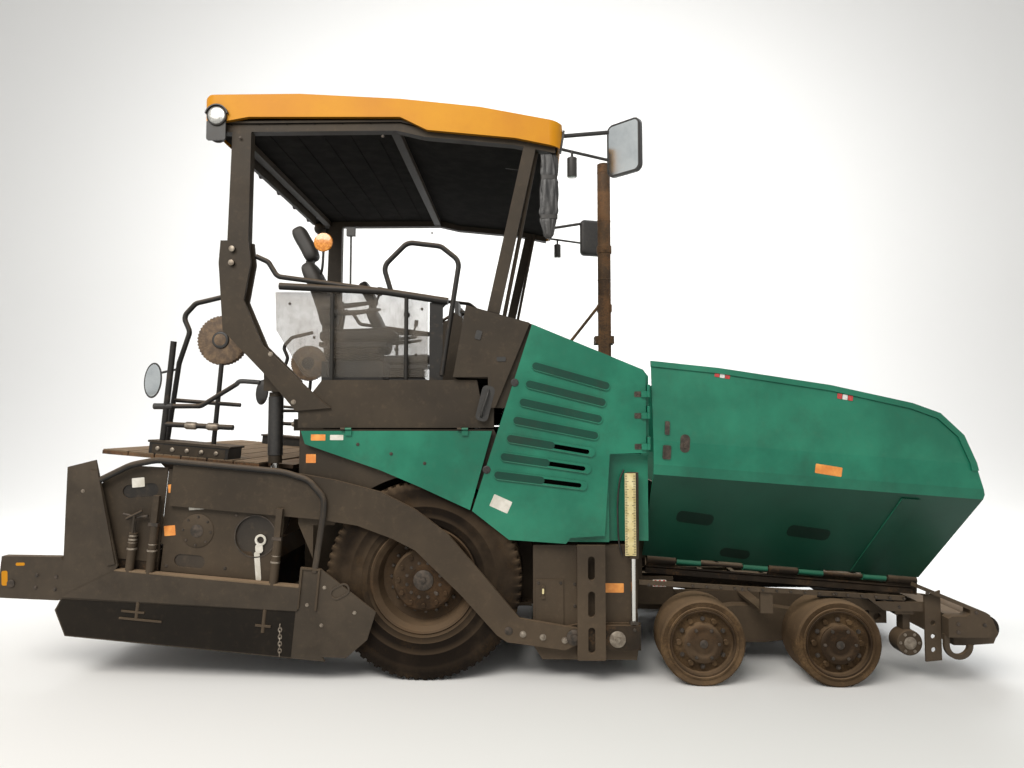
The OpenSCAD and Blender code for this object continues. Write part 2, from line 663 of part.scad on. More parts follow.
door_side = [[142, 2322], [852, 2026], [882, 1985], [882, 1478], [646, 1471], [610, 945], [391, 931],
    [359, 893],
    [-9, 917], [-249, 1102]];
louvre_a = [[171, 2042], [-76, 1332]];
louvre_b = [[620, 1913], [467, 1266]];
module door() place() {
    difference() {
        union() {
            slab(1212, 1238, door_side);
            // raised louvres
            for (i = [0:6]) side_extrude(1238, 1248)
                stadium(louvre_a[0] + (louvre_a[1] - louvre_a[0]) * i / 6,
                    louvre_b[0] + (louvre_b[1] - louvre_b[0]) * i / 6, 62);
        }
        // hollow back
        slab(1200, 1226, [[160, 2290], [840, 2000], [860, 1970], [860, 1500], [622, 1492], [588, 965],
            [380, 952],
            [345, 915], [0, 940], [-220, 1112]]);
        // through slots in the front half of the lowest three
        for (i = [4:6]) let (a = louvre_a[0] + (louvre_a[1] - louvre_a[0]) * i / 6,
                b = louvre_b[0] + (louvre_b[1] - louvre_b[0]) * i / 6)
            side_extrude(1210, 1250) stadium(a + (b - a) * 0.52, b - (b - a) * 0.04, 30);
    }
    for (z = door_hinges) difference() {
        union() {
            zrod(door_hinge_x, door_hinge_y, z, z + 39, 11);
            box(850, 1238, z, 892, 1257, z + 39);
        }
        zrod(door_hinge_x, door_hinge_y, z - 1, z + 40, 5 + running);
    }
}
module door_right() color(green) mirror([0, 1, 0]) door();
module door_left() color(green) door();

flap_hinge_y = 1250;
flap_hinge_z = 1632;
flap_hinges = [-1061, -297];
module flap() place() {
    difference() {
        slab(1212, 1236, [[-1378, 1620], [-120, 1620], [-263, 1107], [-590, 1255], [-854, 1365],
            [-1350, 1534]]);
        slab(1200, 1226, [[-1350, 1602], [-145, 1602], [-282, 1135], [-590, 1276], [-854, 1386],
            [-1330, 1548]]);
    }
    for (x = flap_hinges) difference() {
        union() {
            xrod(x - 20, x + 20, flap_hinge_y, flap_hinge_z, 10);
            box(x - 20, 1236, 1590, x + 20, 1250, flap_hinge_z);
        }
        xrod(x - 21, x + 21, flap_hinge_y, flap_hinge_z, 4 + running);
    }
}
module flap_right() color(green) mirror([0, 1, 0]) flap();
module flap_left() color(green) flap();

// Tow points.

module level_cylinders() color(dark) place() both() {
    difference() {
        zrod(795, 1212, 800, 1350, 38);
        zrod(795, 1212, 799, 1342, 17);
    }
    for (z = [905, 1300]) box(765, 1150, z, 825, 1178, z + 45);
    // height scale
    box(738, 1252, 822, 808, 1256, 1348);
    for (z = [840, 1320]) box(760, 1245, z, 800, 1252, z + 14);
}

module tow_carriage() color(steel) place() both() {
    difference() {
        slab(1180, 1207, [[350, 250], [470, 216], [840, 216], [840, 381], [470, 381], [350, 355]]);
    }
    slab(1207, 1244, [[486, 222], [835, 222], [835, 375], [486, 375]]);
    yrod(tow_x, tow_z, 1207, 1248, tow_pin_r);
    zrod(795, 1212, 381, 1190, 16);
}

// Screed.

arm_side = [[-2300, 1180], [-1457, 1180], [-1230, 1161], [-923, 1111], [-684, 1016], [-463, 882],
    [-236, 666], [9, 427],
    [53, 387], [360, 362], [410, 360], [410, 244], [360, 215], [-16, 230], [-84, 267], [-337, 497],
        [-660, 755],
    [-816, 817], [-1051, 880], [-1288, 897], [-2300, 897]];
module tow_arms() color(dark) place() raised() both() difference() {
    union() {
        slab(arm_y0, arm_y1, arm_side);
        yrod(tow_x, tow_z, arm_y0, arm_y1, 58);
    }
    yrod(tow_x, tow_z, arm_y0 - 1, arm_y1 + 1, tow_pin_r + running);
}

lift_x = -1610;
lift_top_z = 1930;
lift_low_z = 1000;
lift_y = 1055;
lift_w_x = -1663;
lift_w_z = 821;
module main_screed() color(dark) place() raised() {
    difference() {
        slab(-1200, 1200, [[-1668, 12], [-1668, 540], [-1740, 640], [-2250, 640], [-2330, 580], [-2330, 12]]);
        slab(-1188, 1188, [[-1680, 40], [-1680, 530], [-1750, 622], [-2240, 622], [-2312, 570], [-2312, 40]]);
    }
    both() {
        // plates up to the arms
        slab(1150, 1170, [[-2250, 640], [-1760, 640], [-1800, 1150], [-2200, 1150]]);
        box(-2200, 1170, 930, -1800, arm_y0, 1120);
        // lugs of the lift cylinders
        for (y = [lift_y - 50, lift_y + 32])
            slab(y, y + 18, [[-1740, 640], [-1668, 540], [-1640, 560], [-1625, 860], [-1700, 870],
                [-1780, 640]]);
        yrod(lift_w_x, lift_w_z, lift_y - 58, lift_y + 58, lift_pin_r);
        // struts under the walkway
        slab(500, 512, [[-2330, 640], [-1760, 640], [-1640, 1185], [-2840, 1185], [-2840, 1150],
            [-2380, 780], [-2330, 740]]);
    }
    // guides of the extension tubes
    for (g = [[-2450, -1], [-2600, 1]]) difference() {
        union() for (y = [60, 1080]) {
            box(g.x - 55, min(g.y * y, g.y * (y + 80)), 630, g.x + 55, max(g.y * y, g.y * (y + 80)), 745);
            box(g.x, min(g.y * y, g.y * (y + 80)), 725, -2240, max(g.y * y, g.y * (y + 80)), 745);
            box(-2262, min(g.y * y, g.y * (y + 80)), 640, -2240, max(g.y * y, g.y * (y + 80)), 725);
        }
        yrod(g.x, 685, -1300, 1300, 40 + running);
    }
}

module walkway() color(rust) place() raised() {
    for (x = [-2850:180:-1800]) box(x, -1130, 1185, x + 172, 1130, 1210);
    box(-1770, -980, 1185, -1598, 980, 1210);
}

module screed_rails() color(black) place() raised() both() {
    side_tube(1000, [[-2189, 2336], [-2391, 2270], [-2467, 2170], [-2410, 2068], [-2461, 1844],
        [-2487, 1211]], 17, 60);
    zrod(-2475, 1080, 1210, 1986, 20);
    box(-2541, 900, 1210, -2000, 1120, 1290);
    side_tube(1080, [[-2544, 1533], [-2239, 1560], [-2010, 1730]], 16, 60);
    rod([-2470, 1000, 1584], [-2000, 1000, 1590], 14);
    rod([-2475, 1080, 1416], [-2000, 1080, 1434], 18);
    rod([-2163, 1000, 1865], [-2158, 1000, 1290], 16);
    yrod(-2185, 2029, 940, 985, 165);
}

// Bodies of the hydraulic extensions behind the main screed.
module extension(tube_x) place() raised() {
    difference() {
        box(-2905, 8, 12, -2345, 1205, 600);
        box(-2890, 20, 40, -2360, 1190, 585);
    }
    yrod(tube_x, 685, -1150, 1190, 40);
    box(tube_x - 60, 1190, 600, tube_x + 60, 1205, 745);
}
module extension_right() color(dark) mirror([0, 1, 0]) extension(-2450);
module extension_left() color(dark) extension(-2600);

gate_y0 = 1250;
module side_gate() place() raised() {
    // end plate, its beam and the forward shield
    slab(gate_y0, gate_y0 + 14, [[-2925, 253], [-2961, 164], [-2876, 6], [-1170, 4], [-1222, 72],
        [-1255, 120],
        [-1255, 574], [-1385, 574], [-1385, 308]]);
    slab(gate_y0, gate_y0 + 14, [[-1255, 586], [-873, 346], [-913, 165], [-1037, 39], [-1217, 30],
        [-1255, 120]]);
    slab(gate_y0, gate_y0 + 14, [[-2988, 1091], [-2807, 1153], [-2582, 485], [-2597, 451], [-2925, 253]]);
    slab(gate_y0 - 43, half_w, [[-2597, 451], [-1376, 455], [-1380, 308], [-2925, 253]]);
    // sloping flange and guard tube
    slab(gate_y0 + 14, half_w, [[-2830, 1083], [-2779, 1083], [-2596, 496], [-2648, 480]]);
    side_tube(1262, [[-2790, 1010], [-2572, 1141], [-2405, 1188], [-1569, 1185], [-1395, 1148],
        [-1280, 1040], [-1275, 940],
        [-1295, 560]], 12, 50);
    // height spindles with their collars and the crank
    for (q = [[-2510, 440, 702], [-2375, 440, 958], [-1560, 440, 947]]) zrod(q.x, 1262, q.y, q.z, 12);
    rod([-2560, 1262, 790], [-2460, 1262, 850], 9);
    zrod(-2510, 1262, 702, 825, 8);
    // join to the extension
    box(-2905, 1205, 60, -2345, gate_y0, 250);
    // rear bracket
    slab(1180, 1240, [[-3370, 470], [-3370, 200], [-2960, 220], [-2905, 260], [-2905, 420], [-2980, 500]]);
}
module side_gate_right() color(dark) mirror([0, 1, 0]) side_gate();
module side_gate_left() color(dark) side_gate();

module lift_barrels() color(dark) place() both() difference() {
    union() {
        zrod(lift_x, lift_y, 1400, 1880, 45);
        yrod(lift_x, lift_top_z, lift_y - 22, lift_y + 22, 52);
    }
    zrod(lift_x, lift_y, 1399, 1860, 30);
    yrod(lift_x, lift_top_z, lift_y - 46, lift_y + 46, 25 + running);
}
// Each rod ends in a slotted link, in which the pin of the screed rides up while the tow
// points lift. The slot is wider than the pin, which wanders 7 mm sideways through the stroke.
lift_pin_r = 14;
link_slot = 45;
link_free = 125;
module lift_rods() color(steel) place() both() difference() {
    union() {
        zrod(lift_x, lift_y, lift_low_z + link_free + 30, 1620, 28);
        side_extrude(lift_y - 25, lift_y + 25)
            stadium([lift_x, lift_low_z], [lift_x, lift_low_z + link_free], link_slot + 55);
    }
    side_extrude(lift_y - 30, lift_y + 30)
        stadium([lift_x, lift_low_z + link_slot / 2 - lift_pin_r - 0.6],
            [lift_x, lift_low_z + link_free], link_slot);
}

main_frame();
guard_rails();
side_housings();
tow_guides();
engine();
hood();
hood_shoulders();
deck();
fenders();
post_brackets();
handrails();
side_glass();
seats();
console();
exhaust_stack();
canopy_frame();
roof();
mirrors();
hopper_frame();
conveyor();
bogie_beams();
rear_axle();
auger_frame();
level_cylinders();
tyre_right();
tyre_left();
rim_right();
rim_left();
knuckle_right_front();
knuckle_right_rear();
knuckle_left_front();
knuckle_left_rear();
front_wheel_right_front();
front_wheel_right_rear();
front_wheel_left_front();
front_wheel_left_rear();
push_beam();
push_roller_right();
push_roller_left();
wing_right();
wing_left();
auger_right();
auger_left();
door_right();
door_left();
flap_right();
flap_left();
tow_carriage();
tow_arms();
main_screed();
walkway();
screed_rails();
extension_right();
extension_left();
side_gate_right();
side_gate_left();
lift_barrels();
lift_rods();
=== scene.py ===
# %% [markdown]
# # Dressing a wheeled asphalt paver
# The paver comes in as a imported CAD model: every plate, tube and wheel already has its
# real size and place. This file gives it its looks, one finish and one piece at a time,
# and leaves the CAD shapes where they are.

# %% Load the fixed frame
import json
from math import acos, atan2, cos, exp, pi, radians, sin
import bpy
import numpy as np
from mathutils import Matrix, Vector
from mathutils.geometry import tessellate_polygon


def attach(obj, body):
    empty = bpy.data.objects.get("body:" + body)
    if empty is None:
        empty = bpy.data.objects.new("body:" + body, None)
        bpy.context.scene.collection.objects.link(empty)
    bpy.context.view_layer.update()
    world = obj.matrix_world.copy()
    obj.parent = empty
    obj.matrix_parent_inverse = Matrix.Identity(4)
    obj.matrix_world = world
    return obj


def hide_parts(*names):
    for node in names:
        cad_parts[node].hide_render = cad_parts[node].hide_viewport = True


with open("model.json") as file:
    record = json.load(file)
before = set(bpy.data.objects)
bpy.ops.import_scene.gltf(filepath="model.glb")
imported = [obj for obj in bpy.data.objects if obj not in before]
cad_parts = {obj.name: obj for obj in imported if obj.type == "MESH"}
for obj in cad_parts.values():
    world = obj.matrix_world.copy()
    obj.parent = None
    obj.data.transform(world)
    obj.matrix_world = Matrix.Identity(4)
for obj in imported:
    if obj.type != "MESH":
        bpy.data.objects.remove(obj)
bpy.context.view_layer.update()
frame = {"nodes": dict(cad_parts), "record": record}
nodes = frame["nodes"]

# %% [markdown]
# The camera stands where the photographer stood, a little ahead of the middle and at eye
# height, and looks up by three degrees. A wide lens, as in a telephone, takes the whole
# length in from under six metres.

# %% Camera
YAW, PITCH = radians(1.29), radians(3.03)
FOCAL_PX = 700.0
camera = bpy.data.objects.new("camera", bpy.data.cameras.new("camera"))
camera.data.sensor_width = 36.0
camera.data.lens = FOCAL_PX / 1024 * camera.data.sensor_width
camera.location = (0.2076, -5.8133, 1.6847)
camera.rotation_euler = (pi / 2 + PITCH, 0, YAW)
bpy.context.scene.collection.objects.link(camera)
bpy.context.scene.camera = camera
bpy.context.scene.view_settings.view_transform = "Standard"
print("lens", round(camera.data.lens, 2), "mm")

# %% [markdown]
# Shader maths reads best as an expression. A Wire is one socket of a node tree, and its
# operators add the Math nodes that work the expression out. The Finish class owns a
# material, and its one method `node` adds any other node.

# %% Shader expressions
class Wire:
    """One output socket of a material, with arithmetic."""

    def __init__(self, finish, socket):
        self.finish, self.socket = finish, socket

    def math(self, operation, *values, clamp=False):
        return self.finish.node("Math", {"operation": operation, "use_clamp": clamp},
                                dict(enumerate(values)))

    def __add__(self, other): return self.math("ADD", self, other)
    def __radd__(self, other): return self.math("ADD", other, self)
    def __sub__(self, other): return self.math("SUBTRACT", self, other)
    def __rsub__(self, other): return self.math("SUBTRACT", other, self)
    def __mul__(self, other): return self.math("MULTIPLY", self, other)

    def step(self, low, high):
        """0 below low, 1 above high, and a smooth rise between them."""
        return self.finish.node("MapRange", {"interpolation_type": "SMOOTHSTEP"},
                                {"Value": self, "From Min": low, "From Max": high})

    def clamp(self): return self.math("MULTIPLY", self, 1.0, clamp=True)


class Finish:
    """A material under construction."""

    def __init__(self, name):
        self.material = bpy.data.materials.new(name)
        self.material.use_nodes = True
        self.tree = self.material.node_tree
        self.tree.nodes.clear()
        self.shader = self.tree.nodes.new("ShaderNodeBsdfPrincipled")
        out = self.tree.nodes.new("ShaderNodeOutputMaterial")
        self.tree.links.new(self.shader.outputs[0], out.inputs["Surface"])
        self.place = self.node("TexCoord", out="Object")
        self.z = self.node("SeparateXYZ", None, {0: self.place}, 2)

    def put(self, socket, value):
        """A link where value is a Wire, or else a plain setting."""
        if isinstance(value, Wire):
            self.tree.links.new(value.socket, socket)
        elif hasattr(value, "__len__") and len(value) == 3 and socket.type == "RGBA":
            socket.default_value = (*value, 1.0)
        else:
            socket.default_value = value

    def node(self, kind, settings=None, sockets=None, out=0):
        """A new node, and its output as a Wire."""
        made = self.tree.nodes.new("ShaderNode" + kind)
        for key, value in (settings or {}).items():
            setattr(made, key, value)
        for key, value in (sockets or {}).items():
            self.put(made.inputs[key], value)
        return Wire(self, made.outputs[out])

    def noise(self, scale, detail=4.0, roughness=0.55, stretch=(1, 1, 1), shift=(0, 0, 0)):
        """Cloudy noise from 0 to 1; scale counts its blobs per metre."""
        spot = self.node("Mapping", None, {"Vector": self.place, "Scale": stretch, "Location": shift})
        return self.node("TexNoise", None,
                         {"Vector": spot, "Scale": scale, "Detail": detail, "Roughness": roughness})

    def mix(self, share, a, b):
        """Colour a where share is 0, b where it is 1."""
        return self.node("Mix", {"data_type": "RGBA"}, {"Factor": share, "A": a, "B": b}, "Result")

    def facing(self, way):
        """How much a face looks up (way 1) or down (way -1), from 0 to 1."""
        normal = self.node("NewGeometry", out="Normal")
        return (self.node("SeparateXYZ", None, {0: normal}, 2) * way).clamp()

    def bump(self, height, distance, strength):
        return self.node("Bump", None, {"Height": height, "Distance": distance, "Strength": strength})

    def done(self, **inputs):
        """The finished material, with each named input set."""
        names = {"color": "Base Color", "roughness": "Roughness", "metallic": "Metallic", "normal": "Normal",
                 "coat": "Coat Weight", "alpha": "Alpha", "specular": "Specular IOR Level"}
        for key, value in inputs.items():
            self.put(self.shader.inputs[names[key]], value)
        return self.material


# %% [markdown]
# Old machine paint is never one colour. The sun has bleached what looks up, dust from the
# road lies on every ledge, and bitumen has splashed whatever is near the mix. One function
# makes all of the painted finishes: a paint, a bleached paint, a coat of dust that is
# thicker on upward faces and near the ground, and painted shade on faces that look down.

# %% Painted metal
DUST = (0.30, 0.205, 0.125)
GRIME = (0.018, 0.014, 0.010)


def painted(name, paint, bleached, dust=0.35, gloss=0.38, grime=0.35, low_dust=0.35, chips=0.25,
            shine=0.25):
    """Paint, bleached in broad clouds, chipped in specks, dusted, and with painted shade on what looks down.
    """
    f = Finish(name)
    clouds = f.noise(1.6, 6, 0.6)
    fine = f.noise(23, 5, 0.65)
    streak = f.noise(9, 4, 0.6, stretch=(1, 1, 0.12))
    body = f.mix(clouds.step(0.35, 0.72), paint, bleached)
    spots = f.noise(60, 3, 0.7).step(0.70, 0.74) * chips
    body = f.mix(spots, body, (0.10, 0.075, 0.06))
    grimy = (f.noise(3.1, 6, 0.7, shift=(3, 1, 7)).step(0.48, 0.75) * grime
             + streak.step(0.55, 0.8) * grime * 0.5).clamp()
    body = f.mix(grimy, body, GRIME)
    near_ground = (1.0 - f.z.step(0.1, 1.5)) * low_dust
    ledge = f.facing(1.0) * (0.45 + fine * 0.5)
    dusty = ((near_ground * (0.35 + clouds) + ledge) * dust * 1.6
             + fine.step(0.5, 0.85) * dust * 0.35).clamp()
    colour = f.mix(dusty, body, DUST)
    # Painted shade: faces that look down are mixed towards a fifth of the paint's colour, to stand for the
    # shade under them.
    colour = f.mix(f.facing(-1.0).step(0.05, 0.6) * 0.8, colour, tuple(0.2 * c for c in paint))
    rough = gloss + dusty * 0.4 + clouds * 0.12 + grimy * 0.2
    height = fine * 0.4 + f.noise(4.5, 3) * 1.2
    return f.done(color=colour, roughness=rough.clamp(), normal=f.bump(height, 0.0016, 0.5),
                  specular=shine)


green = painted("green_paint", (0.004, 0.115, 0.066), (0.014, 0.185, 0.108), dust=0.09, gloss=0.34,
                grime=0.2, shine=0.35)
dark = painted("dark_paint", (0.026, 0.019, 0.012), (0.044, 0.032, 0.020), dust=0.27, gloss=0.55,
               grime=0.34)
bitumen_black = painted("bitumen_black", (0.008, 0.0065, 0.005), (0.014, 0.011, 0.008), dust=0.12,
                        gloss=0.6, low_dust=0.05, shine=0.12)
gate_paint = painted("bitumen_gate", (0.034, 0.026, 0.018), (0.058, 0.044, 0.030), dust=0.24,
                     gloss=0.55, grime=0.45, low_dust=0.05)
black = painted("black_paint", (0.012, 0.011, 0.010), (0.022, 0.02, 0.017), dust=0.3, gloss=0.42,
                grime=0.1)
yellow = painted("yellow_gel_coat", (0.47, 0.185, 0.0015), (0.53, 0.235, 0.003), dust=0.03, gloss=0.45,
                 grime=0.06, low_dust=0, chips=0.05)
print("painted finishes:", green.name, dark.name, black.name, yellow.name)

# %% [markdown]
# Bare steel that meets hot mix turns brown-black: a film of bitumen, rust where it has worn
# through, and grit. The same recipe with more rust is right for the exhaust and the walkway.

# %% Steel with bitumen and rust
def worn_steel(name, base, rust, rust_share=0.45, dust=0.3, gloss=0.55, scale=1.0):
    """Colour = base film, with rust in ragged clouds and dust on what looks up."""
    f = Finish(name)
    clouds = f.noise(4.0 * scale, 8, 0.7)
    grit = f.noise(80 * scale, 4, 0.7)
    ragged = (clouds * 0.7 + grit * 0.3).step(0.62 - rust_share * 0.3, 0.72 - rust_share * 0.2)
    colour = f.mix(ragged, base, rust)
    dusty = ((f.facing(1.0) * 0.8 + f.noise(1.8, 5).step(0.45, 0.8) * 0.5) * dust * 1.4).clamp()
    colour = f.mix(dusty, colour, DUST)
    return f.done(color=colour, roughness=(gloss + ragged * 0.25 + grit * 0.15).clamp(), metallic=0.25,
                  normal=f.bump(grit * 0.5 + clouds, 0.002, 0.55), specular=0.12)


steel = worn_steel("worn_steel", (0.022, 0.017, 0.013), (0.10, 0.058, 0.030), 0.4, 0.35)
rust = worn_steel("rusty_steel", (0.055, 0.036, 0.024), (0.16, 0.085, 0.042), 0.6, 0.5)
hub_dust = worn_steel("dusty_wheel_steel", (0.026, 0.016, 0.009), (0.062, 0.036, 0.019), 0.5, 0.4)
drum_rubber = worn_steel("dusty_solid_rubber", (0.055, 0.034, 0.018), (0.13, 0.080, 0.040), 0.5, 0.5, 0.8)
tyre_rubber = worn_steel("dusty_tyre_rubber", (0.011, 0.0075, 0.005), (0.032, 0.020, 0.011), 0.4, 0.35, 0.75)

rod = Finish("polished_rod")
chrome = rod.done(color=(0.62, 0.61, 0.58), metallic=1.0,
                  roughness=0.12 + rod.noise(40, 4, 0.6, stretch=(1, 1, 0.1)) * 0.18)

skin = Finish("seat_vinyl")
grain = skin.node("TexVoronoi", None, {"Vector": skin.place, "Scale": 420.0})
worn = skin.noise(3, 5).step(0.4, 0.8) * 0.5
vinyl = skin.done(
    color=skin.mix(worn, (0.018, 0.016, 0.014), (0.09, 0.07, 0.05)),
    roughness=0.5 + skin.noise(12, 4) * 0.25, normal=skin.bump(grain, 0.0006, 0.5))

clear = Finish("scratched_clear_panel")
haze = clear.noise(2.2, 7, 0.65).step(0.35, 0.8)
scratch = clear.noise(140, 3, 0.6, stretch=(1, 1, 0.04)).step(0.62, 0.7)
glass = clear.done(
    color=clear.mix(haze, (0.11, 0.10, 0.085), (0.16, 0.125, 0.09)),
    alpha=(0.24 + haze * 0.28 + scratch * 0.15).clamp(), roughness=(0.12 + haze * 0.35).clamp())

# %% [markdown]
# New pieces are computed as arrays of points in the millimetres of the CAD drawing, always
# for the right side, the one that faces the camera. Nearly everything is one form of loft:
# rings of points joined by quads, with flat ends, or a loop. A solid whose signed volume
# V = sum(a . (b x c)) / 6 comes out negative has its faces turned round, so normals always
# point outward. A plate with holes is filled between its outline, taken counter-clockwise,
# and its holes, taken clockwise, so that the walls of both face away from the metal.

# %% Lofts, tubes, turned solids and plates
SHIFT = 94.0   # from the drawing's X to the frame's
TOP = 3885     # height of the roof


def outward(points, faces):
    """Faces turned round if the volume they close comes out negative."""
    points = np.asarray(points, float)
    tris = np.array([(f[0], f[i], f[i + 1]) for f in faces for i in range(1, len(f) - 1)])
    a, b, c = (points - points.mean(0))[tris].transpose(1, 0, 2)
    volume = np.einsum("ij,ij->", a, np.cross(b, c))
    return points, (faces if volume > 0 else [f[::-1] for f in faces])


def loft(rings, loop=False):
    """A closed skin through n rings of m points, each ring joined to the next."""
    rings = np.asarray(rings, float)
    n, m = rings.shape[:2]
    index = np.arange(n * m).reshape(n, m)
    here, there = (index, np.roll(index, -1, 0)) if loop else (index[:-1], index[1:])
    quads = np.stack([here, np.roll(here, -1, 1), np.roll(there, -1, 1), there], -1).reshape(-1, 4).tolist()
    if not loop:
        quads += [index[0][::-1].tolist(), index[-1].tolist()]
    return outward(rings.reshape(-1, 3), quads)


def turned(x, y, z, profile, sides=24, loop=False, spin=0.0):
    """A solid turned about Y: p(a, i) = (x + r cos a, y - h, z + r sin a) for (r, h) in profile."""
    a = np.arange(sides) * 2 * pi / sides + spin
    return loft([np.stack([x + r * np.cos(a), np.full(sides, y - h), z + r * np.sin(a)], -1)
                 for r, h in profile], loop)


def hex_bolt(x, y, z, r=11.0, height=9.0):
    """A hexagon head on a washer, with its corners turned off."""
    return [turned(x, y, z, [(r * 1.25, 0), (r * 1.25, 2.0), (r * 1.1, 2.4)], 16),
            turned(x, y, z, [(r, 1.5), (r, height - 2), (r * 0.8, height)], 6, spin=x + z)]


def bolts(y, r, height, spots):
    return [hex_bolt(x, y, z, r, height) for x, z in spots]


def ring_of_bolts(x, y, z, circle_r, count, r, height, start=0.0):
    turns = [start + 2 * pi * k / count for k in range(count)]
    return bolts(y, r, height, [(x + circle_r * cos(a), z + circle_r * sin(a)) for a in turns])


def curve(points, steps=8):
    """A smooth way through points by Catmull and Rom's rule, steps to each span."""
    p = np.asarray(points, float)
    p = np.concatenate([[2 * p[0] - p[1]], p, [2 * p[-1] - p[-2]]])
    t = np.linspace(0, 1, steps, endpoint=False)[:, None, None]
    a, b, c, d = (p[i:len(p) - 3 + i][None] for i in range(4))
    way = 0.5 * (2 * b + (c - a) * t + (2 * a - 5 * b + 4 * c - d) * t ** 2
                 + (3 * b - a - 3 * c + d) * t ** 3)
    return np.concatenate([way.transpose(1, 0, 2).reshape(-1, 3), p[-2:-1]])


def tube(points, radius, sides=12, across=(0, 1, 0)):
    """A round tube: each ring stands square to the way, u = t x across, v = t x u."""
    p = np.asarray(points, float)
    t = np.gradient(p, axis=0)
    t /= np.linalg.norm(t, axis=1)[:, None]
    u = np.cross(t, across)
    u /= np.linalg.norm(u, axis=1)[:, None]
    v = np.cross(t, u)
    a = (np.arange(sides) * 2 * pi / sides)[None, :, None]
    r = np.broadcast_to(np.asarray(radius, float), len(p))[:, None, None]
    return loft(p[:, None] + r * (np.cos(a) * u[:, None] + np.sin(a) * v[:, None]))


def bar(start, end, r, sides=14):
    """A straight tube in any direction."""
    reach = np.abs(np.subtract(end, start))
    return tube([start, end], r, sides, (0, 1, 0) if reach[1] < reach[0] + reach[2] else (1, 0, 0))


def upright(x, y, rings, sides=28):
    """A round body on an upright line, through (height, radius) in rings."""
    return tube([(x, y, z) for z, r in rings], [r for z, r in rings], sides)


def band(x, y, z0, z1, r, sides=28):
    """A round collar from z0 to z1 with its edges turned off."""
    return upright(x, y, [(z0, r - 2), (z0 + 2, r), (z1 - 2, r), (z1, r - 2)], sides)


def plate(outline, y0, y1):
    """A flat plate with the given outline of (x, z), between two Y."""
    return loft([[(x, y, z) for x, z in outline] for y in (y0, y1)])


def box(x0, y0, z0, x1, y1, z1):
    return plate([(x0, z0), (x1, z0), (x1, z1), (x0, z1)], y0, y1)


def rounded(x, z, width, height, r, turn=0.0, steps=5):
    """Outline of a rounded rectangle about (x, z), turned by some degrees."""
    a = np.radians(np.linspace(0, 90, steps)[None] + np.array([0, 90, 180, 270])[:, None])
    cx = np.array([1, -1, -1, 1])[:, None] * (width / 2 - r)
    cz = np.array([1, 1, -1, -1])[:, None] * (height / 2 - r)
    px, pz = (cx + r * np.cos(a)).ravel(), (cz + r * np.sin(a)).ravel()
    c, s = cos(radians(turn)), sin(radians(turn))
    return np.stack([x + px * c - pz * s, z + px * s + pz * c], -1)


def pad(y0, y1, *outline):
    """A rounded plate between two Y."""
    return plate(rounded(*outline), y0, y1)


def circle(x, z, r, sides=40):
    return [(x + r * cos(a), z + r * sin(a)) for a in np.arange(sides) * 2 * pi / sides]


def slot(x0, z0, x1, z1, r):
    """Outline of a slot with round ends about two points."""
    lean = atan2(z1 - z0, x1 - x0)
    return [(x + r * cos(lean + side + a), z + r * sin(lean + side + a))
            for x, z, side in ((x1, z1, -pi / 2), (x0, z0, pi / 2))
            for a in np.linspace(0, pi, 12)]


def panel(outline, holes, y0, y1):
    """A plate from y0 to y1, y0 nearest the camera, with holes right through."""
    loops = []
    for k, loop in enumerate([outline, *holes]):
        loop = np.asarray(loop, float)
        x, z = loop.T
        turn = np.sum(x * np.roll(z, -1) - np.roll(x, -1) * z)
        loops.append(loop if (turn > 0) == (k == 0) else loop[::-1])
    spots = np.concatenate(loops)
    n = len(spots)
    caps = []
    for t in tessellate_polygon([[Vector((x, z, 0)) for x, z in loop] for loop in loops]):
        (ax, az), (bx, bz), (cx, cz) = spots[list(t)]
        caps.append(tuple(t) if (bx - ax) * (cz - az) - (bz - az) * (cx - ax) > 0 else tuple(t)[::-1])
    faces = caps + [tuple(i + n for i in t[::-1]) for t in caps]
    start = 0
    for loop in loops:
        for i in range(len(loop)):
            a, b = start + i, start + (i + 1) % len(loop)
            faces.append((a, a + n, b + n, b))
        start += len(loop)
    return np.concatenate([np.stack([spots[:, 0], np.full(n, y), spots[:, 1]], -1) for y in (y0, y1)]), faces


def flat(items):
    """The solids in lists of lists, one by one."""
    for item in items:
        if isinstance(item, list):
            yield from flat(item)
        else:
            yield item


def other_side(solids):
    """The mirror image of solids, for pieces that stand on the left only."""
    return [(p * (1, -1, 1), [f[::-1] for f in faces]) for p, faces in flat(solids)]


def piece(name, body, finish, solids, both=True, smooth=40, old=()):
    """One object from many solids on the right side, and its mirror image on the left."""
    solids, made = list(flat(solids)), []
    for side in (("right", "left") if both else ("right",)):
        sign = 1 if side == "right" else -1
        points, faces, count = [], [], 0
        for p, f in solids:
            p = (p + (SHIFT, 0, 0)) * (1e-3, 1e-3 * sign, 1e-3)
            points.append(p)
            faces += [[i + count for i in (face if sign > 0 else face[::-1])] for face in f]
            count += len(p)
        label = name + "_" + side if both else name
        mesh = bpy.data.meshes.new(label)
        mesh.from_pydata(np.concatenate(points).tolist(), [], faces)
        mesh.update()
        mesh.shade_smooth()
        mesh.set_sharp_from_angle(angle=radians(smooth))
        mesh.materials.append(finish)
        made.append(bpy.data.objects.new(label, mesh))
        bpy.context.scene.collection.objects.link(made[-1])
        here = [node if side == "right" else node.replace("_right", "_left") for node in (body, *old)]
        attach(made[-1], here[0])
        if old:
            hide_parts(*here[1:])
    return made


def fixed(name, finish, solids, **more):
    """A piece that rides on the chassis."""
    return piece(name, "chassis", finish, solids, **more)


# %% [markdown]
# Small finishes: bolts, blank labels, glass, lamps, hoses. Labels stay blank, as paper and
# enamel that the weather has worked on.

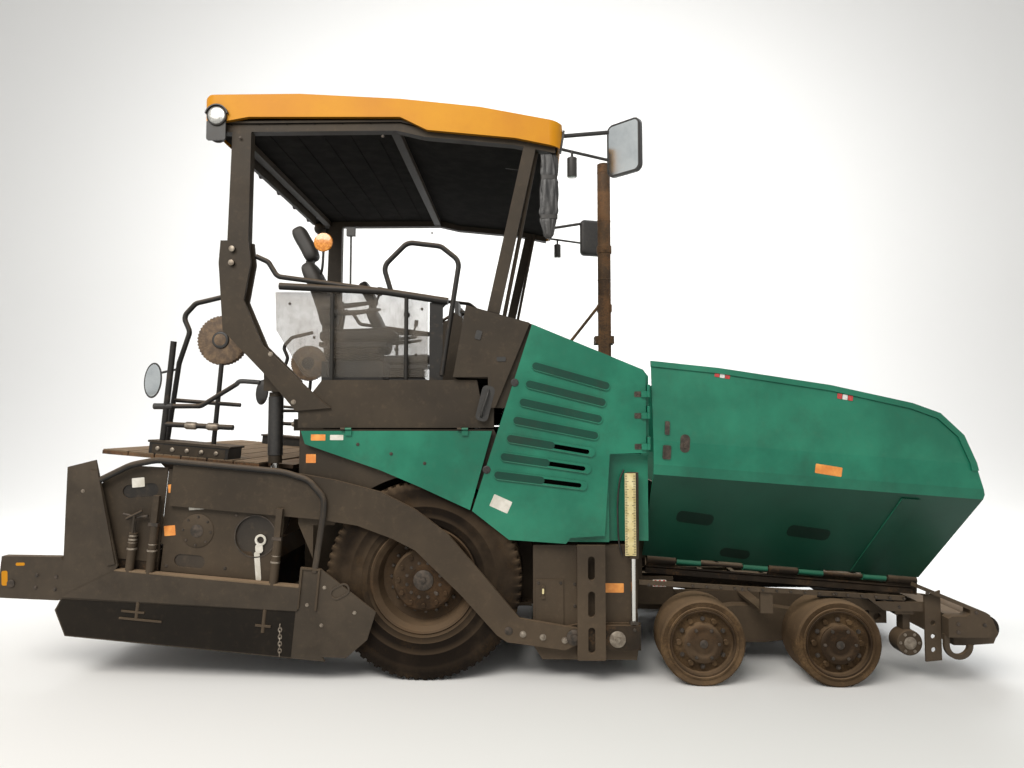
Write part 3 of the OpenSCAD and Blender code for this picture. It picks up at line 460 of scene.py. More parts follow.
# %% Finishes of the small pieces
def plain(name, low, high, rough=0.45, metallic=0.0, scale=14.0, relief=0.0005, **more):
    """Two shades in soft clouds, with a fine relief."""
    f = Finish(name)
    cloud = f.noise(scale, 5, 0.6)
    return f.done(color=f.mix(cloud.step(0.35, 0.7), low, high), roughness=(rough + cloud * 0.25).clamp(),
                  metallic=metallic, normal=f.bump(f.noise(scale * 5, 3), relief, 0.6), **more)


bolt_steel = plain("zinc_bolts", (0.16, 0.13, 0.10), (0.30, 0.26, 0.21), 0.35, 0.7, 30)
dark_bolt = plain("black_bolts", (0.03, 0.024, 0.018), (0.08, 0.06, 0.045), 0.45, 0.4, 30)
pale_label = plain("blank_white_label", (0.50, 0.47, 0.40), (0.66, 0.63, 0.57), 0.4)
orange_label = plain("blank_orange_label", (0.62, 0.20, 0.035), (0.78, 0.33, 0.07), 0.38)
red_glass = plain("red_reflector", (0.35, 0.012, 0.01), (0.5, 0.03, 0.02), 0.15, 0, 60, 0.001, coat=0.8)
white_glass = plain("white_reflector", (0.55, 0.54, 0.50), (0.7, 0.7, 0.68), 0.15, 0, 60, 0.001, coat=0.8)
amber_glass = plain("amber_lens", (0.5, 0.16, 0.01), (0.7, 0.27, 0.02), 0.15, 0, 60, 0.001, coat=0.8)
lens_glass = plain("lamp_lens", (0.20, 0.20, 0.19), (0.34, 0.34, 0.32), 0.12, 0.3, 50, 0.001, coat=0.9)
mirror_face = plain("mirror_face", (0.42, 0.45, 0.46), (0.55, 0.58, 0.58), 0.02, 1.0, 3, 0.0001)
scale_yellow = plain("scale_enamel", (0.55, 0.45, 0.20), (0.68, 0.60, 0.34), 0.4)
ink = plain("tick_marks", (0.015, 0.013, 0.01), (0.03, 0.025, 0.02), 0.6)
hose_black = plain("hose_rubber", (0.010, 0.009, 0.008), (0.028, 0.023, 0.018), 0.45, 0, 20, 0.001)
plastic = plain("black_plastic", (0.011, 0.010, 0.009), (0.022, 0.019, 0.016), 0.4, 0, 40, 0.0004)
reel_brown = plain("dusty_reel", (0.07, 0.045, 0.028), (0.16, 0.105, 0.06), 0.6, 0, 20, 0.001)
sheet_black = plain("curtain_sheet", (0.008, 0.008, 0.008), (0.022, 0.020, 0.018), 0.3, 0, 9, 0.002)
lining_felt = plain("lining_felt", (0.005, 0.0045, 0.004), (0.010, 0.009, 0.008), 0.9, 0, 9, 0.001,
                    specular=0.05)
# Painted shade: a dark copy of the green paint, for plates laid where the louvres and wing pockets fall into
# shade.
painted_shade_green = painted("painted_shade_green", (0.0015, 0.036, 0.022), (0.003, 0.055, 0.033), dust=0.1, grime=0.4)
plank = painted("tan_planks", (0.11, 0.078, 0.048), (0.19, 0.14, 0.09), dust=0.5, gloss=0.6, grime=0.4)
print("small finishes ready")

# %% [markdown]
# Each CAD node takes a finish by its material slot. Nodes that look different from the rest
# of their slot in the photograph are named one by one.

# %% Finish of each CAD node
finish_of_slot = {
    "paint_green": green, "paint_dark": dark, "paint_yellow": yellow, "paint_black": black,
    "worn_steel": steel, "rusty_steel": rust, "chrome_rod": chrome, "barrel_paint": dark,
    "tyre_rubber": tyre_rubber, "solid_rubber": drum_rubber, "clear_panel": glass, "seat_vinyl": vinyl,
}
finish_of_node = {"rim_right": hub_dust, "rim_left": hub_dust, "side_gate_right": gate_paint,
                  "side_gate_left": gate_paint}
for part in frame["record"]["subparts"]:
    node = nodes[part["node"]]
    node.data.materials.clear()
    node.data.materials.append(finish_of_node.get(part["node"], finish_of_slot[part["material_slot"]]))

# %% [markdown]
# The driven tyre is one ring of rubber. Its tread is the CAD radius cut into by a groove
# pattern g(a, s), where a is the angle and s the place across the tread: shoulder lugs are
# notched by a square wave of a, and two zigzag grooves run round the middle. The sidewall
# keeps the fine rings that the mould leaves.

# %% Wheels
TYRE = (-570, -1012, 645)
FRONT_Z = 270


def tyre_rings(radius=645.0, half=192.5, steps=576):
    """Profiles (r, s) from bead to bead, one at each step of the turn, with the tread cut in."""
    x, y, z = TYRE
    wall = [(325, -150), (353, -168), (364, -174), (368, -181), (400, -185), (404, -188), (412, -188),
            (416, -186), (470, -187.5), (474, -190), (482, -190), (486, -187.5), (560, -189)]
    wall += [(radius - 60 + 60 * sin(b), -(half - 30) - 30 * cos(b))
             for b in np.radians(np.linspace(0, 90, 6))]
    tread = [(radius, s) for s in np.linspace(-150, 150, 21)]
    r, s = np.array(wall + tread + [(p, -q) for p, q in wall[::-1]]).T[:, None]
    a = np.arange(steps)[:, None] * 2 * pi / steps
    lug = a * 36 / pi
    notch = (np.mod(lug + (s > 0) * 0.5, 1.0) < 0.38) & (np.abs(s) > 118) & (r > 596)
    zigzag = 22 * (np.abs(np.mod(lug, 2.0) - 1) - 0.5)
    groove = (np.abs(np.abs(s) - 62 - zigzag * np.sign(s)) < 8) & (r > 644)
    depth = np.where(notch, np.where(r > 640, 13.0, 7.0), np.where(groove, 10.0, 0.0))
    worn = 1.2 * np.sin(a * 5) * (r > 600)
    cut = r - depth - np.abs(worn)
    return np.stack([x + cut * np.cos(a), np.broadcast_to(y - s, cut.shape), z + cut * np.sin(a)], -1)


piece("tyre_tread", "wheel_right", tyre_rubber, [loft(tyre_rings(), loop=True)], smooth=35,
      old=["tyre_right"])
x, y, z = TYRE
piece("rim_bolts", "wheel_right", dark_bolt, [
    ring_of_bolts(x, y - 42, z, 232, 20, 12, 18),
    ring_of_bolts(x, y - 173, z, 112, 12, 9, 8, 0.26),
    turned(x, y - 182, z, [(66, -8), (66, 1), (60, 5), (20, 6), (18, 12), (9, 14)], 32),
    turned(x + 88, y - 170, z - 85, [(12, -8), (12, 14), (7, 16), (7, 20)], 12)])

for place, x in (("rear", 1230), ("front", 2088)):
    piece("wheel_face_" + place, "front_wheel_right_" + place, hub_dust, [
        turned(x, -1256, FRONT_Z, [(122, 0), (122, 2), (116, 6), (84, 7), (78, 3), (60, 3)], 40),
        turned(x, -1250, FRONT_Z, [(206, -30), (210, -4), (206, -1), (198, -2), (196, -30)], 48, loop=True)])
    piece("wheel_bolts_" + place, "front_wheel_right_" + place, dark_bolt, [
        ring_of_bolts(x, -1260, FRONT_Z, 96, 6, 11, 11),
        ring_of_bolts(x, -1226, FRONT_Z, 150, 6, 12, 12, 0.52),
        turned(x, -1260, FRONT_Z, [(26, 0), (26, 6), (18, 10), (6, 11)], 20)])

# %% [markdown]
# The hopper wings lean, so whatever sits on them is laid on the plate: each outline point
# (X, Z) is turned into the hopper's own tilted frame, and the wing's line there gives Y.

# %% Wing fittings
TILT = radians(4.3)


def on_wing(outline, low, high):
    """A plate that follows the outside of the wing, from low to high above it."""
    x, z = np.asarray(outline, float).T
    up = (x - 1000) * sin(TILT) + (z - 700) * cos(TILT)
    y = -np.interp(up, [28, 634, 700, 855, 1372], [768, 1250, 1262, 1259, 1190])
    return loft([np.stack([x, y - h, z], -1) for h in (low, high)])


for k, (x, z) in enumerate(((1390, 1984), (2178, 1840))):
    for j, finish in enumerate((red_glass, white_glass, red_glass)):
        outline = rounded(x + (j - 1) * 34, z - (j - 1) * 6, 31, 34, 4, -9)
        piece("reflector_%d_%d" % (k, j), "wing_right", finish, [on_wing(outline, 0, 4)])
piece("wing_label", "wing_right", orange_label, [on_wing(rounded(2040, 1370, 170, 60, 6, -9), 0, 1.2)])
piece("wing_latches", "wing_right", dark_bolt, [
    on_wing(rounded(x, z, width, height, r, -4), low, high) for x, z, width, height, r, low, high in (
        (1009, 1484, 52, 90, 10, 0, 9), (1009, 1484, 24, 62, 8, 8, 13.5), (1016, 1640, 30, 88, 8, 0, 10),
        (1128, 1540, 62, 118, 30, 0, 3), (1128, 1525, 22, 30, 9, 2, 14))])
# Painted shade: dark green plates laid where the wing's pockets fall into shade.
for k, place in enumerate(((1240, 1030, 250, 84), (2010, 930, 290, 84), (1560, 760, 210, 70))):
    piece("wing_pocket_%d" % k, "wing_right", painted_shade_green, [on_wing(rounded(*place, 34, -8), 0, 1.2)])

# %% [markdown]
# Each louvre of the doors has a bent lip over a throat of painted shade, a dark green plate,
# and the three lowest plates are cut short. The levelling rod ends in a clevis on the tow arm,
# beside a scale with fifty ticks. Plain rows of bolts and blank labels come from two tables.

# %% Door, flap, arm and housing fittings
LOUVRES = [(171 - 247 * i / 6, 2042 - 710 * i / 6, 620 - 153 * i / 6, 1913 - 647 * i / 6) for i in range(7)]
TOW_PIN = (410, 302)
LEVEL_X = 795

piece("louvre_lips", "door_right", green, [
    tube([(x0 + 28 * cos(a), -1248, z0 - 28 * sin(a)) for a in np.radians(np.linspace(170, 95, 8))]
         + [(x1, -1248, z1 - 28)], 2.6, 8) for x0, z0, x1, z1 in LOUVRES])
# Painted shade: a dark green plate in each louvre's throat, where the louvre falls into shade.
piece("louvre_throats", "door_right", painted_shade_green, [
    plate(slot(x0 - 4, z0 + 2, x0 + (x1 - x0) * share + 2, z0 + (z1 - z0) * share + 2, 24), -1248.9, -1247.6)
    for (x0, z0, x1, z1), share in zip(LOUVRES, (1, 1, 1, 1, 0.5, 0.5, 0.5))])
piece("door_locks", "door_right", plastic, [
    [turned(x, -1238, z, [(26, 0), (26, 4), (21, 7), (21, 9)], 24),
     pad(-1254, -1246, x, z, 30, 12, 5, -60)] for x, z in ((28, 1936), (-155, 1368))])
piece("door_hinge_leaves", "door_right", dark_bolt, [
    [pad(-1242, -1238, 838, z, 62, 36, 6), bolts(-1242, 7, 6, [(822, z), (850, z)])]
    for z in (1519, 1719, 1859)])
fixed("handle_recess", plastic, [
    pad(-1241.5, -1240, -165, 1800, 84, 236, 30, -14),
    tube(curve([(-190, -1241, 1710), (-186, -1262, 1740), (-150, -1262, 1850), (-142, -1241, 1888)]), 8, 10,
         (1, 0.1, 0))])
piece("tow_pins", "screed", dark_bolt, [
    turned(TOW_PIN[0], -1244, TOW_PIN[1], [(50, 0), (50, 8), (44, 12), (24, 13), (22, 22), (8, 24)], 28),
    turned(-11, -1244, 340, [(26, 0), (26, 4), (20, 6)], 24)])
piece("tow_point_boss", "tow_points", bolt_steel, [
    turned(686, -1244, 292, [(52, 0), (52, 10), (44, 14), (18, 15), (16, 24), (6, 26)], 30)])
piece("level_rod", "tow_points", chrome, [
    loft([[(x, y, z) for x, y in circle(LEVEL_X, -1212, 16.6, 28)] for z in (383, 799)])])
piece("rod_clevis", "tow_points", dark_bolt, [
    box(LEVEL_X - 25, -1241, 381, LEVEL_X + 25, -1185, 398),
    *[box(LEVEL_X + x, -1239, 330, LEVEL_X + x + 8, -1187, 384) for x in (-21, 13)],
    hex_bolt(LEVEL_X, -1241, 350, 12, 9)])
fixed("height_scale", scale_yellow, [box(738, -1258, 822, 808, -1256, 1348)])
fixed("scale_ticks", ink, [
    box(x, -1259, z - 1.6, x + length, -1258, z + 1.6)
    for k in range(50) for z, length in [(832 + k * 10.3, 13 if k % 5 else 22)] for x in (740, 806 - length)])

for name, body, finish, rows in (
        ("flap_pulls", "flap_right", dark_bolt, [
            (-1236, 9, 7, [(-1000, 1532), (-780, 1470.4), (-560, 1408.8)])]),
        ("housing_bolts", "chassis", dark_bolt, [
            (-1178, 8, 7, [(182, 280), (328, 280), (182, 630), (328, 630)]),
            (-1170, 9, 7, [(420, 620), (600, 500), (420, 480)])]),
        ("arm_bolts", "screed", bolt_steel, [(-1244, 17, 14, [(81, 319), (209, 301), (349, 283)])]),
        ("roof_bolts", "chassis", dark_bolt, [(-1213.5, 8, 6, [(-1830, 3600), (-860, 3600)])]),
        ("glass_bolts", "chassis", dark_bolt, [
            (-1132, 8, 5, [(-1330, 2250), (-640, 2130), (-600, 2440), (-1500, 2480)])]),
        ("nose_bolts", "chassis", dark_bolt, [
            (-1262, 10, 8, [(2826, 405), (2825, 355), (2990, 400), (2640, 598), (2940, 478)]),
            (-1185, 9, 8, [(900, 622), (1500, 597), (2100, 572), (2500, 490)])])):
    piece(name, body, finish, [bolts(*row) for row in rows])

for name, body, finish, y0, y1, *outlines in (
        ("door_label", "door_right", pale_label, -1239.4, -1238, (-62, 1148, 128, 82, 6, -24)),
        ("flap_labels", "flap_right", pale_label, -1237.2, -1236, (-1140, 1577, 88, 34, 4)),
        ("flap_warning", "flap_right", orange_label, -1237.2, -1236, (-1262, 1577, 96, 40, 4)),
        ("housing_label", "chassis", orange_label, -1171.5, -1170, (674, 598, 128, 60, 6)),
        ("level_gauge", "chassis", scale_yellow, -1192.5, -1190, (212, 578, 13, 34, 5)),
        ("hatch_white", "chassis", pale_label, -1170.7, -1170, (970, 630, 88, 44, 3)),
        ("paper_label", "chassis", pale_label, -1206, -1205, (664, 1573, 42, 88, 4)),
        ("fender_label", "chassis", orange_label, -1191.2, -1190, (-1322, 1437, 66, 58, 5)),
        ("extension_labels", "extension_right", pale_label, -1213.2, -1212, (-2462, 1279, 84, 62, 5, 5)),
        ("screed_plate_paper", "screed", pale_label, -1210.2, -1209, (-2065, 1132, 116, 60, 5, 5)),
        ("screed_plate_labels", "screed", orange_label, -1210.2, -1209, (-2236, 1240, 52, 54, 5, 5),
         (-2245, 964, 74, 66, 5, 5), (-1640, 1210, 72, 44, 5, 5))):
    piece(name, body, finish, [pad(y0, y1, *outline) for outline in outlines])
print("wheels, wings, doors and arms fitted")

# %% [markdown]
# The screed hangs five degrees nose down about its tow pin. Its fittings are drawn as if
# it lay flat, and this turn about the pin lifts them:
# x' = 410 + (x - 410) cos 5 + (z - 302) sin 5, z' = 302 + (z - 302) cos 5 - (x - 410) sin 5.

# %% Screed fittings
RAISE = radians(5)
HOLE = (-1722, 745)
COVER = (-2110, 745)
REEL = (-2185, 2029)


def lifted(solids):
    """Solids drawn on the flat screed, turned up with it."""
    made = []
    for points, faces in flat(solids):
        dx, dz = points[:, 0] - TOW_PIN[0], points[:, 2] - TOW_PIN[1]
        made.append((np.stack([TOW_PIN[0] + dx * cos(RAISE) + dz * sin(RAISE), points[:, 1],
                               TOW_PIN[1] + dz * cos(RAISE) - dx * sin(RAISE)], -1), faces))
    return made


def on_screed(name, finish, solids, body="screed", both=True):
    piece(name, body, finish, lifted(solids), both)


on_screed("cover_bolts", dark_bolt, [
    ring_of_bolts(COVER[0], -1215, COVER[1], 92, 8, 7, 6),
    turned(COVER[0], -1215, COVER[1], [(42, 0), (42, 3), (36, 5)], 28),
    bolts(-1209, 9, 7, [(-2290, 500), (-1590, 500), (-1590, 860), (-1900, 520), (-1860, 870)]),
    turned(HOLE[0], -1209, HOLE[1], [(140, 0), (140, 5), (132, 5), (132, 0)], 48, loop=True)])
on_screed("screed_end_plate", dark, [
    panel([(-2325, 465), (-1545, 465), (-1545, 897), (-1600, 1010), (-1600, 1130), (-2343, 1130),
           (-2343, 640), (-2325, 640)], [circle(*HOLE, 132), slot(-2200, 544, -2080, 544, 42)], -1209, -1199),
    turned(COVER[0], -1208, COVER[1], [(110, 0), (110, 5), (106, 7)], 48)])
on_screed("screed_hole_shade", black, [
    plate(circle(*HOLE, 140), -1199.5, -1196), plate(slot(-2200, 544, -2080, 544, 50), -1201.5, -1200.2)])
piece("pale_clamp", "screed", pale_label, [
    pad(-1213, -1208, -1656, 735, 36, 190, 14, 5),
    pad(-1215, -1208, -1648, 850, 50, 60, 20, 5),
    turned(-1640, -1210, 905, [(34, -2), (38, 4), (34, 7), (24, 7), (22, -2)], 28, loop=True)])
on_screed("walkway_planks", plank, [
    box(x + 3, -1128, 1210.2, x + 55, 1128, 1217)
    for k in range(6) for j in range(3) for x in [-2850 + 180 * k + 56 * j]], both=False)

PLEATS = 44
a = np.arange(PLEATS * 8) * 2 * pi / (PLEATS * 8)
ruff = 3.5 * np.cos(a * PLEATS)
on_screed("sensor_reel", reel_brown, [
    loft([np.stack([REEL[0] + r * np.cos(a), np.full(len(a), y), REEL[1] + r * np.sin(a)], -1)
          for r, y in ((60, -1005), (150 + ruff, -1001), (168 + ruff, -995), (172 + ruff, -970),
                       (168 + ruff, -935), (150 + ruff, -930), (60, -928))], loop=True),
    turned(REEL[0], -1010, REEL[1], [(44, 0), (44, 8), (30, 14), (12, 15)], 28)])
on_screed("reel_hub", plastic, [turned(REEL[0], -1010, REEL[1], [(58, -2), (58, 4), (50, 9), (46, 9)], 32)])
on_screed("screed_box_knobs", bolt_steel, [
    turned(x, -1120, 1252, [(15, 0), (15, 7), (11, 10)], 18) for x in range(-2480, -2079, 100)])
on_screed("screed_box_lid", dark, [
    pad(-1128, -880, -2270, 1298, 560, 16, 6),
    pad(-1121.5, -1120, -2270, 1250, 500, 60, 8)])
on_screed("rod_collars", bolt_steel, [
    tube([(x, -1080, z), (x + 10, -1080, z), (x + 70, -1080, z + 2), (x + 80, -1080, z + 2)],
         [20, 26, 26, 20], 20)
    for x, z in ((-2330, 1421), (-2180, 1427))])


def oval(y, share, half_width, half_height):
    """A ring of the oval mirror on the screed's rail."""
    return [(-2630 + half_width * share * cos(t), y, 1708 + half_height * share * sin(t))
            for t in np.linspace(0, 2 * pi, 40, endpoint=False)]


on_screed("screed_mirror_face", mirror_face, [
    loft([oval(y, share, 54, 112) for share, y in ((1, -1006), (1, -1008), (0.96, -1009))])])
on_screed("screed_mirror_head", plastic, [
    loft([oval(y, share, 62, 124) for share, y in ((1, -1006), (1, -1000), (0.9, -990), (0.5, -984))]),
    bar((-2600, -1000, 1760), (-2470, -1000, 1800), 8)])
on_screed("screed_handles", plastic, [
    tube(curve([(-2010, -1080, 1730), (-1985, -1080, 1752), (-1900, -1080, 1756), (-1850, -1080, 1756)]),
         16, 14),
    tube([(-2561, -1080, 1532), (-2560, -1080, 1532), (-2430, -1080, 1542), (-2429, -1080, 1542)],
         [15, 21, 21, 15], 16)])
piece("lift_sleeves", "lift_barrels", plastic, [
    upright(-1610, -1055, [(1452, 45), (1454, 50), (1850, 50), (1852, 45)])])
print("screed fitted")

# %% [markdown]
# The side gate rides on the extension: screw tubes with threads and rings, which are cut
# off flat where the CAD box ends, a guard tube whose corners are parabolas, a hanging
# chain of crossed oval links, and plates with painted shade, black plates, behind their openings.

# %% Extension and side gate
SCREW_Y = -1248.5
GUARD_Y = -1260
SIDE_LIMIT = -1274.8
THREAD = [(600, 32, 6), (640, 28, 3)]


def on_extension(name, finish, solids):
    on_screed(name, finish, solids, "extension_right")


def spindle(x, rings):
    """Rings and threads on an upright screw tube of the side gate."""
    parts = [band(x, SCREW_Y, z - h, z + h, r) for z, r, h in rings]
    return [(np.maximum(p, (-1e6, SIDE_LIMIT, -1e6)), faces) for p, faces in parts]


def chain_link(k):
    """Wire swept round an oval, which stands square to the ovals of its neighbours."""
    half, slim = (10, 0.4) if k % 2 else (6, 0.5)
    rings = []
    for a in np.linspace(0, 2 * pi, 20, endpoint=False):
        rings.append([])
        for b in np.linspace(0, 2 * pi, 8, endpoint=False):
            wide, thick = half * cos(a) * (1 + slim * cos(b)), 3.6 * sin(b)
            dx, dy = (wide, thick) if k % 2 else (thick, wide)
            dz = 15 * sin(a) * (1 + 0.27 * cos(b))
            rings[-1].append((-1482 + dx, -1265.6 + dy, 365 - k * 22 + dz))
    return loft(rings, loop=True)


def rounded_way(corners, bend):
    """A way through corners of (x, z), each rounded by a parabola that starts bend before it."""
    corners = np.array(corners, float)
    way = [corners[0]]
    for before, at, after in zip(corners, corners[1:], corners[2:]):
        first = at + (before - at) / np.linalg.norm(before - at) * bend
        last = at + (after - at) / np.linalg.norm(after - at) * bend
        way += [(1 - t) ** 2 * first + 2 * t * (1 - t) * at + t * t * last for t in np.linspace(0, 1, 7)]
    return way + [corners[-1]]


on_extension("gate_spindles", dark, [
    *[upright(x, SCREW_Y, [(440, 25.8), (top, 25.8)], 32)
      for x, top in ((-2510, 702), (-2375, 762), (-1560, 744))],
    *[box(x - 20, -1274.5, z, x + 20, -1246.5, top) for x, z, top in ((-2375, 760, 958), (-1560, 742, 947))]])
on_extension("gate_spindle_rings", bolt_steel, [
    spindle(-2510, THREAD + [(660, 27.6, 6), (684, 27.6, 5)]),
    *[spindle(x, THREAD) for x in (-2375, -1560)]])
on_extension("gate_spindle_tops", dark_bolt, [
    *[box(x - 31, -1274.6, z, x + 31, -1246, z + 22) for x, z in ((-2375, 760), (-1560, 742))],
    tube(curve([(-2592, -1247, 818), (-2550, -1247, 812), (-2510, -1247, 800), (-2470, -1247, 812),
                (-2428, -1247, 818)]), 8.5, 12),
    upright(-2510, -1247, [(702, 16), (720, 14), (722, 10), (802, 9.4)], 16)])
guard, faces = tube([(x, GUARD_Y, z) for x, z in rounded_way(
    [(-2790, 1010), (-2572, 1141), (-2405, 1188), (-1569, 1185), (-1395, 1148), (-1280, 1040), (-1275, 940),
     (-1295, 560)], 46.0)], 20.5, 18)
guard[:, 1] = GUARD_Y + (guard[:, 1] - GUARD_Y) * 14 / 20.5
on_extension("gate_guard_tube", black, [(guard, faces)])
piece("gate_plate_bolts", "extension_right", bolt_steel, [
    bolts(-1264, 10, 8, [(-2798, 1227), (-2681, 1085), (-2605, 775), (-2638, 590)]),
    lifted(bolts(-1264, 10, 8, [(-1220, 470), (-1215, 230), (-1010, 330), (-1320, 350)]))])
on_extension("claw_paint", yellow, [
    pad(-1241, -1240, -3333, 330, 40, 96, 12, 8),
    pad(-1241, -1240, -3240, 430, 60, 20, 9, 6)])
on_extension("claw_bolts", dark_bolt, [
    bolts(-1240, 11, 8, [(x, z) for x in (-3120, -2990) for z in (290, 370)]),
    turned(-3285, -1240, 300, [(26, 0), (26, 6), (20, 9), (8, 10)], 24)])
on_extension("beam_edge", plank, [
    plate([(-2600, 452), (-2590, 461), (-1378, 465), (-1376, 455)], -1272, -1212)])
piece("gate_chain", "extension_right", bolt_steel, [chain_link(k) for k in range(9)])
on_extension("extension_end_plate", dark, [
    panel([(-2810, 520), (-2347, 520), (-2347, 1140), (-2600, 1132), (-2720, 1070), (-2810, 960)],
          [slot(-2590, 960, -2440, 985, 44)], -1212, -1204)])
on_extension("extension_slot_shade", black, [plate(slot(-2590, 960, -2440, 985, 56), -1204.5, -1199)])
on_extension("gate_lower_panel", bitumen_black, [
    panel([(-2922, 240), (-2950, 164), (-2870, 14), (-1392, 12), (-1392, 300)], [], -1266, -1263.5)])
on_extension("gate_lower_brackets", dark, [
    *[box(x0, -1273, z0, x1, -1265, z1) for x0, z0, x1, z1 in (
        (-2520, 196, -2370, 208), (-2530, 150, -2250, 162), (-1640, 186, -1540, 200))],
    *[upright(x, -1262, [(150, 12), (310, 12)], 16) for x in (-2420, -1590)]])
on_extension("gate_channel", dark, [
    box(-1385, -1274.5, 320, -1371, -1263, 574), box(-1269, -1274.5, 320, -1255, -1263, 574),
    box(-1385, -1274.5, 574, -1255, -1250, 586)])
on_extension("gate_shield_pocket", black, [
    panel(slot(-1140, 440, -1095, 470, 40), [slot(-1140, 440, -1095, 470, 30)], -1270, -1263)])
print("extension fitted")

# %% [markdown]
# A padded cushion is a superellipsoid wrapped on a bent centre line: the section at share s
# of its length is |u/a|^n + |v/b|^n = 1 with n near 4, drawn in at both ends, and sewn
# channels pull the skin in by a few millimetres. Each seat gets a cushion, a back and a
# headrest, and a plinth with a pleated bellows.

# %% Seats
SEAT_Y = -972


def cushion(line, half_width, half_depth, seams, crown=0.16, sides=56, steps=40):
    """A crowned cushion on a centre line of (x, z); half_width is across the machine."""
    way = curve([(x, 0, z) for x, z in line], 12)
    length = np.concatenate([[0], np.cumsum(np.linalg.norm(np.diff(way, axis=0), axis=1))])
    s = 0.5 - 0.5 * np.cos(pi * np.linspace(0, 1, steps))
    spot = np.stack([np.interp(s * length[-1], length, way[:, k]) for k in range(3)], -1)
    t = np.gradient(spot, axis=0)
    t /= np.linalg.norm(t, axis=1)[:, None]
    up = np.stack([-t[:, 2], t[:, 1], t[:, 0]], -1)
    end = np.clip((1 - np.abs(2 * s - 1) ** 6), 0.012, 1) ** 0.34
    a = np.arange(sides) * 2 * pi / sides
    c, n = np.cos(a), np.sin(a)
    u = np.sign(c) * np.abs(c) ** 0.42
    v = np.sign(n) * np.abs(n) ** 0.55 * (1 + crown * (1 - np.abs(u) ** 2))
    side_seam = np.exp(-((np.abs(u) - 0.66) / 0.05) ** 2) * 0.05 * (v > 0)
    rings = []
    for i in range(steps):
        seam = sum(exp(-((s[i] - q) / 0.012) ** 2) for q in seams)
        puff = end[i] * (1 - 0.07 * seam) * (1 - side_seam)
        rings.append(spot[i] + (u * half_width * end[i])[:, None] * np.array([0, 1, 0])
                     + (v * half_depth * puff)[:, None] * up[i])
    return loft(rings)


def at_seat(solids):
    """Solids drawn about the seat's middle, moved to the right seat."""
    return [(p + (0, SEAT_Y, 0), f) for p, f in solids]


bellows = [[(x, y, 2090 + k * 8.6) for x, y in rounded(-1080, 0, 350 + 2 * r, 178 + 2 * r, 24)]
           for k in range(13) for r in [0 if k % 2 else 16]]
fixed("seat_base", plastic, at_seat([
    box(-1290, -120, 1957, -870, 120, 2090), loft(bellows), box(-1315, -104, 2194, -850, 104, 2224),
    plate([(-1440, 2755), (-1400, 2770), (-1385, 2808), (-1440, 2808)], -24, 24),
    tube([(-1290, -152, 2458), (-1290, 152, 2458)], 12, 14, (1, 0, 0))]), old=["seats"])
for name, line, width, depth, seams in (
        ("cushion", [(-1328, 2272), (-1200, 2270), (-1000, 2274), (-870, 2282), (-790, 2262)], 130, 44,
         (0.28, 0.62)),
        ("back", [(-1272, 2330), (-1284, 2440), (-1340, 2600), (-1398, 2720), (-1432, 2788)], 121, 50,
         (0.3, 0.62)),
        ("headrest", [(-1392, 2806), (-1420, 2880), (-1472, 2970), (-1508, 3044)], 71, 44, (0.5,))):
    solids = at_seat([cushion(line, width, depth, seams)])
    for made in fixed("seat_" + name, vinyl, solids, smooth=80):
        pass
OCTAGON = [(-1, -.6), (-.6, -1), (.6, -1), (1, -.6), (1, .6), (.6, 1), (-.6, 1), (-1, .6)]
for name, y in (("outer", -145), ("inner", 145)):
    fixed("seat_armrest_" + name, plastic, at_seat([
        loft([[(x, y + half * b, z + height * g) for b, g in OCTAGON] for x, z, half, height in (
            (-1306, 2455, 5, 12), (-1290, 2457, 7, 20), (-1100, 2468, 7, 17), (-970, 2484, 7, 13),
            (-944, 2488, 5, 7))])]))
print("seats padded")

# %% [markdown]
# The rolled curtain is a bundle of thin black sheet. Its section is a rounded box whose
# skin is thrown into folds that run down it: f = 1 + sum of c_k sin(k a + p_k(z)), and two
# straps pinch it.

# %% Rolled curtain
CURTAIN_Y = -1166
a = np.arange(90) * 2 * pi / 90


def roll_ring(x, half, thick, z):
    """Section of the roll about x, at z from the roof's top."""
    c, s = np.cos(a), np.sin(a)
    return np.stack([x + half * np.sign(c) * np.abs(c) ** 0.7,
                     CURTAIN_Y + thick * np.sign(s) * np.abs(s) ** 0.7, np.full(90, TOP + z)], -1)


heights = np.linspace(-406, -975, 60)
front = np.interp(heights, [-985, -785, -445, -382], [285, 333, 328, 305])
back = np.interp(heights, [-985, -835, -585, -382], [225, 183, 189, 195])
folds = []
for z, x0, x1 in zip(heights, back, front):
    ripple = sum(c * np.sin(k * a + p + z / q) for c, k, p, q in
                 ((0.07, 5, 0.3, 90.0), (0.055, 9, 1.2, -60.0), (0.04, 13, 2.0, 45.0), (0.02, 23, 0.5, 30.0)))
    pinch = 1 - 0.16 * (exp(-((z + 560) / 16) ** 2) + exp(-((z + 830) / 16) ** 2))
    r = 0.82 * (1 + ripple) * pinch * min(1.0, 0.35 + (z + 985) / 40)
    folds.append(roll_ring((x0 + x1) / 2, (x1 - x0) / 2 * r, 20 * r, z))
curtain, = fixed("curtain_roll", sheet_black, [loft(folds)], both=False, smooth=70)
fixed("curtain_straps", plastic, [
    loft([roll_ring(x, half, 18.0, z + h) for h in (-14, 14)])
    for z, x, half in ((-560, 258, 56.4), (-830, 257, 58.8))], both=False)

# %% [markdown]
# Lamps, mirrors and the small parts round the operator's place. Each mirror is drawn in its
# own plane and then turned about an upright line through its middle; the left one is
# turned less than the right one.

# %% Canopy fittings
MIRROR = (770, -1165, 3522)
REAR_LAMP = (-1972, 3731)
FRONT_LAMP = (414, -1164)
STICK_Y = -827


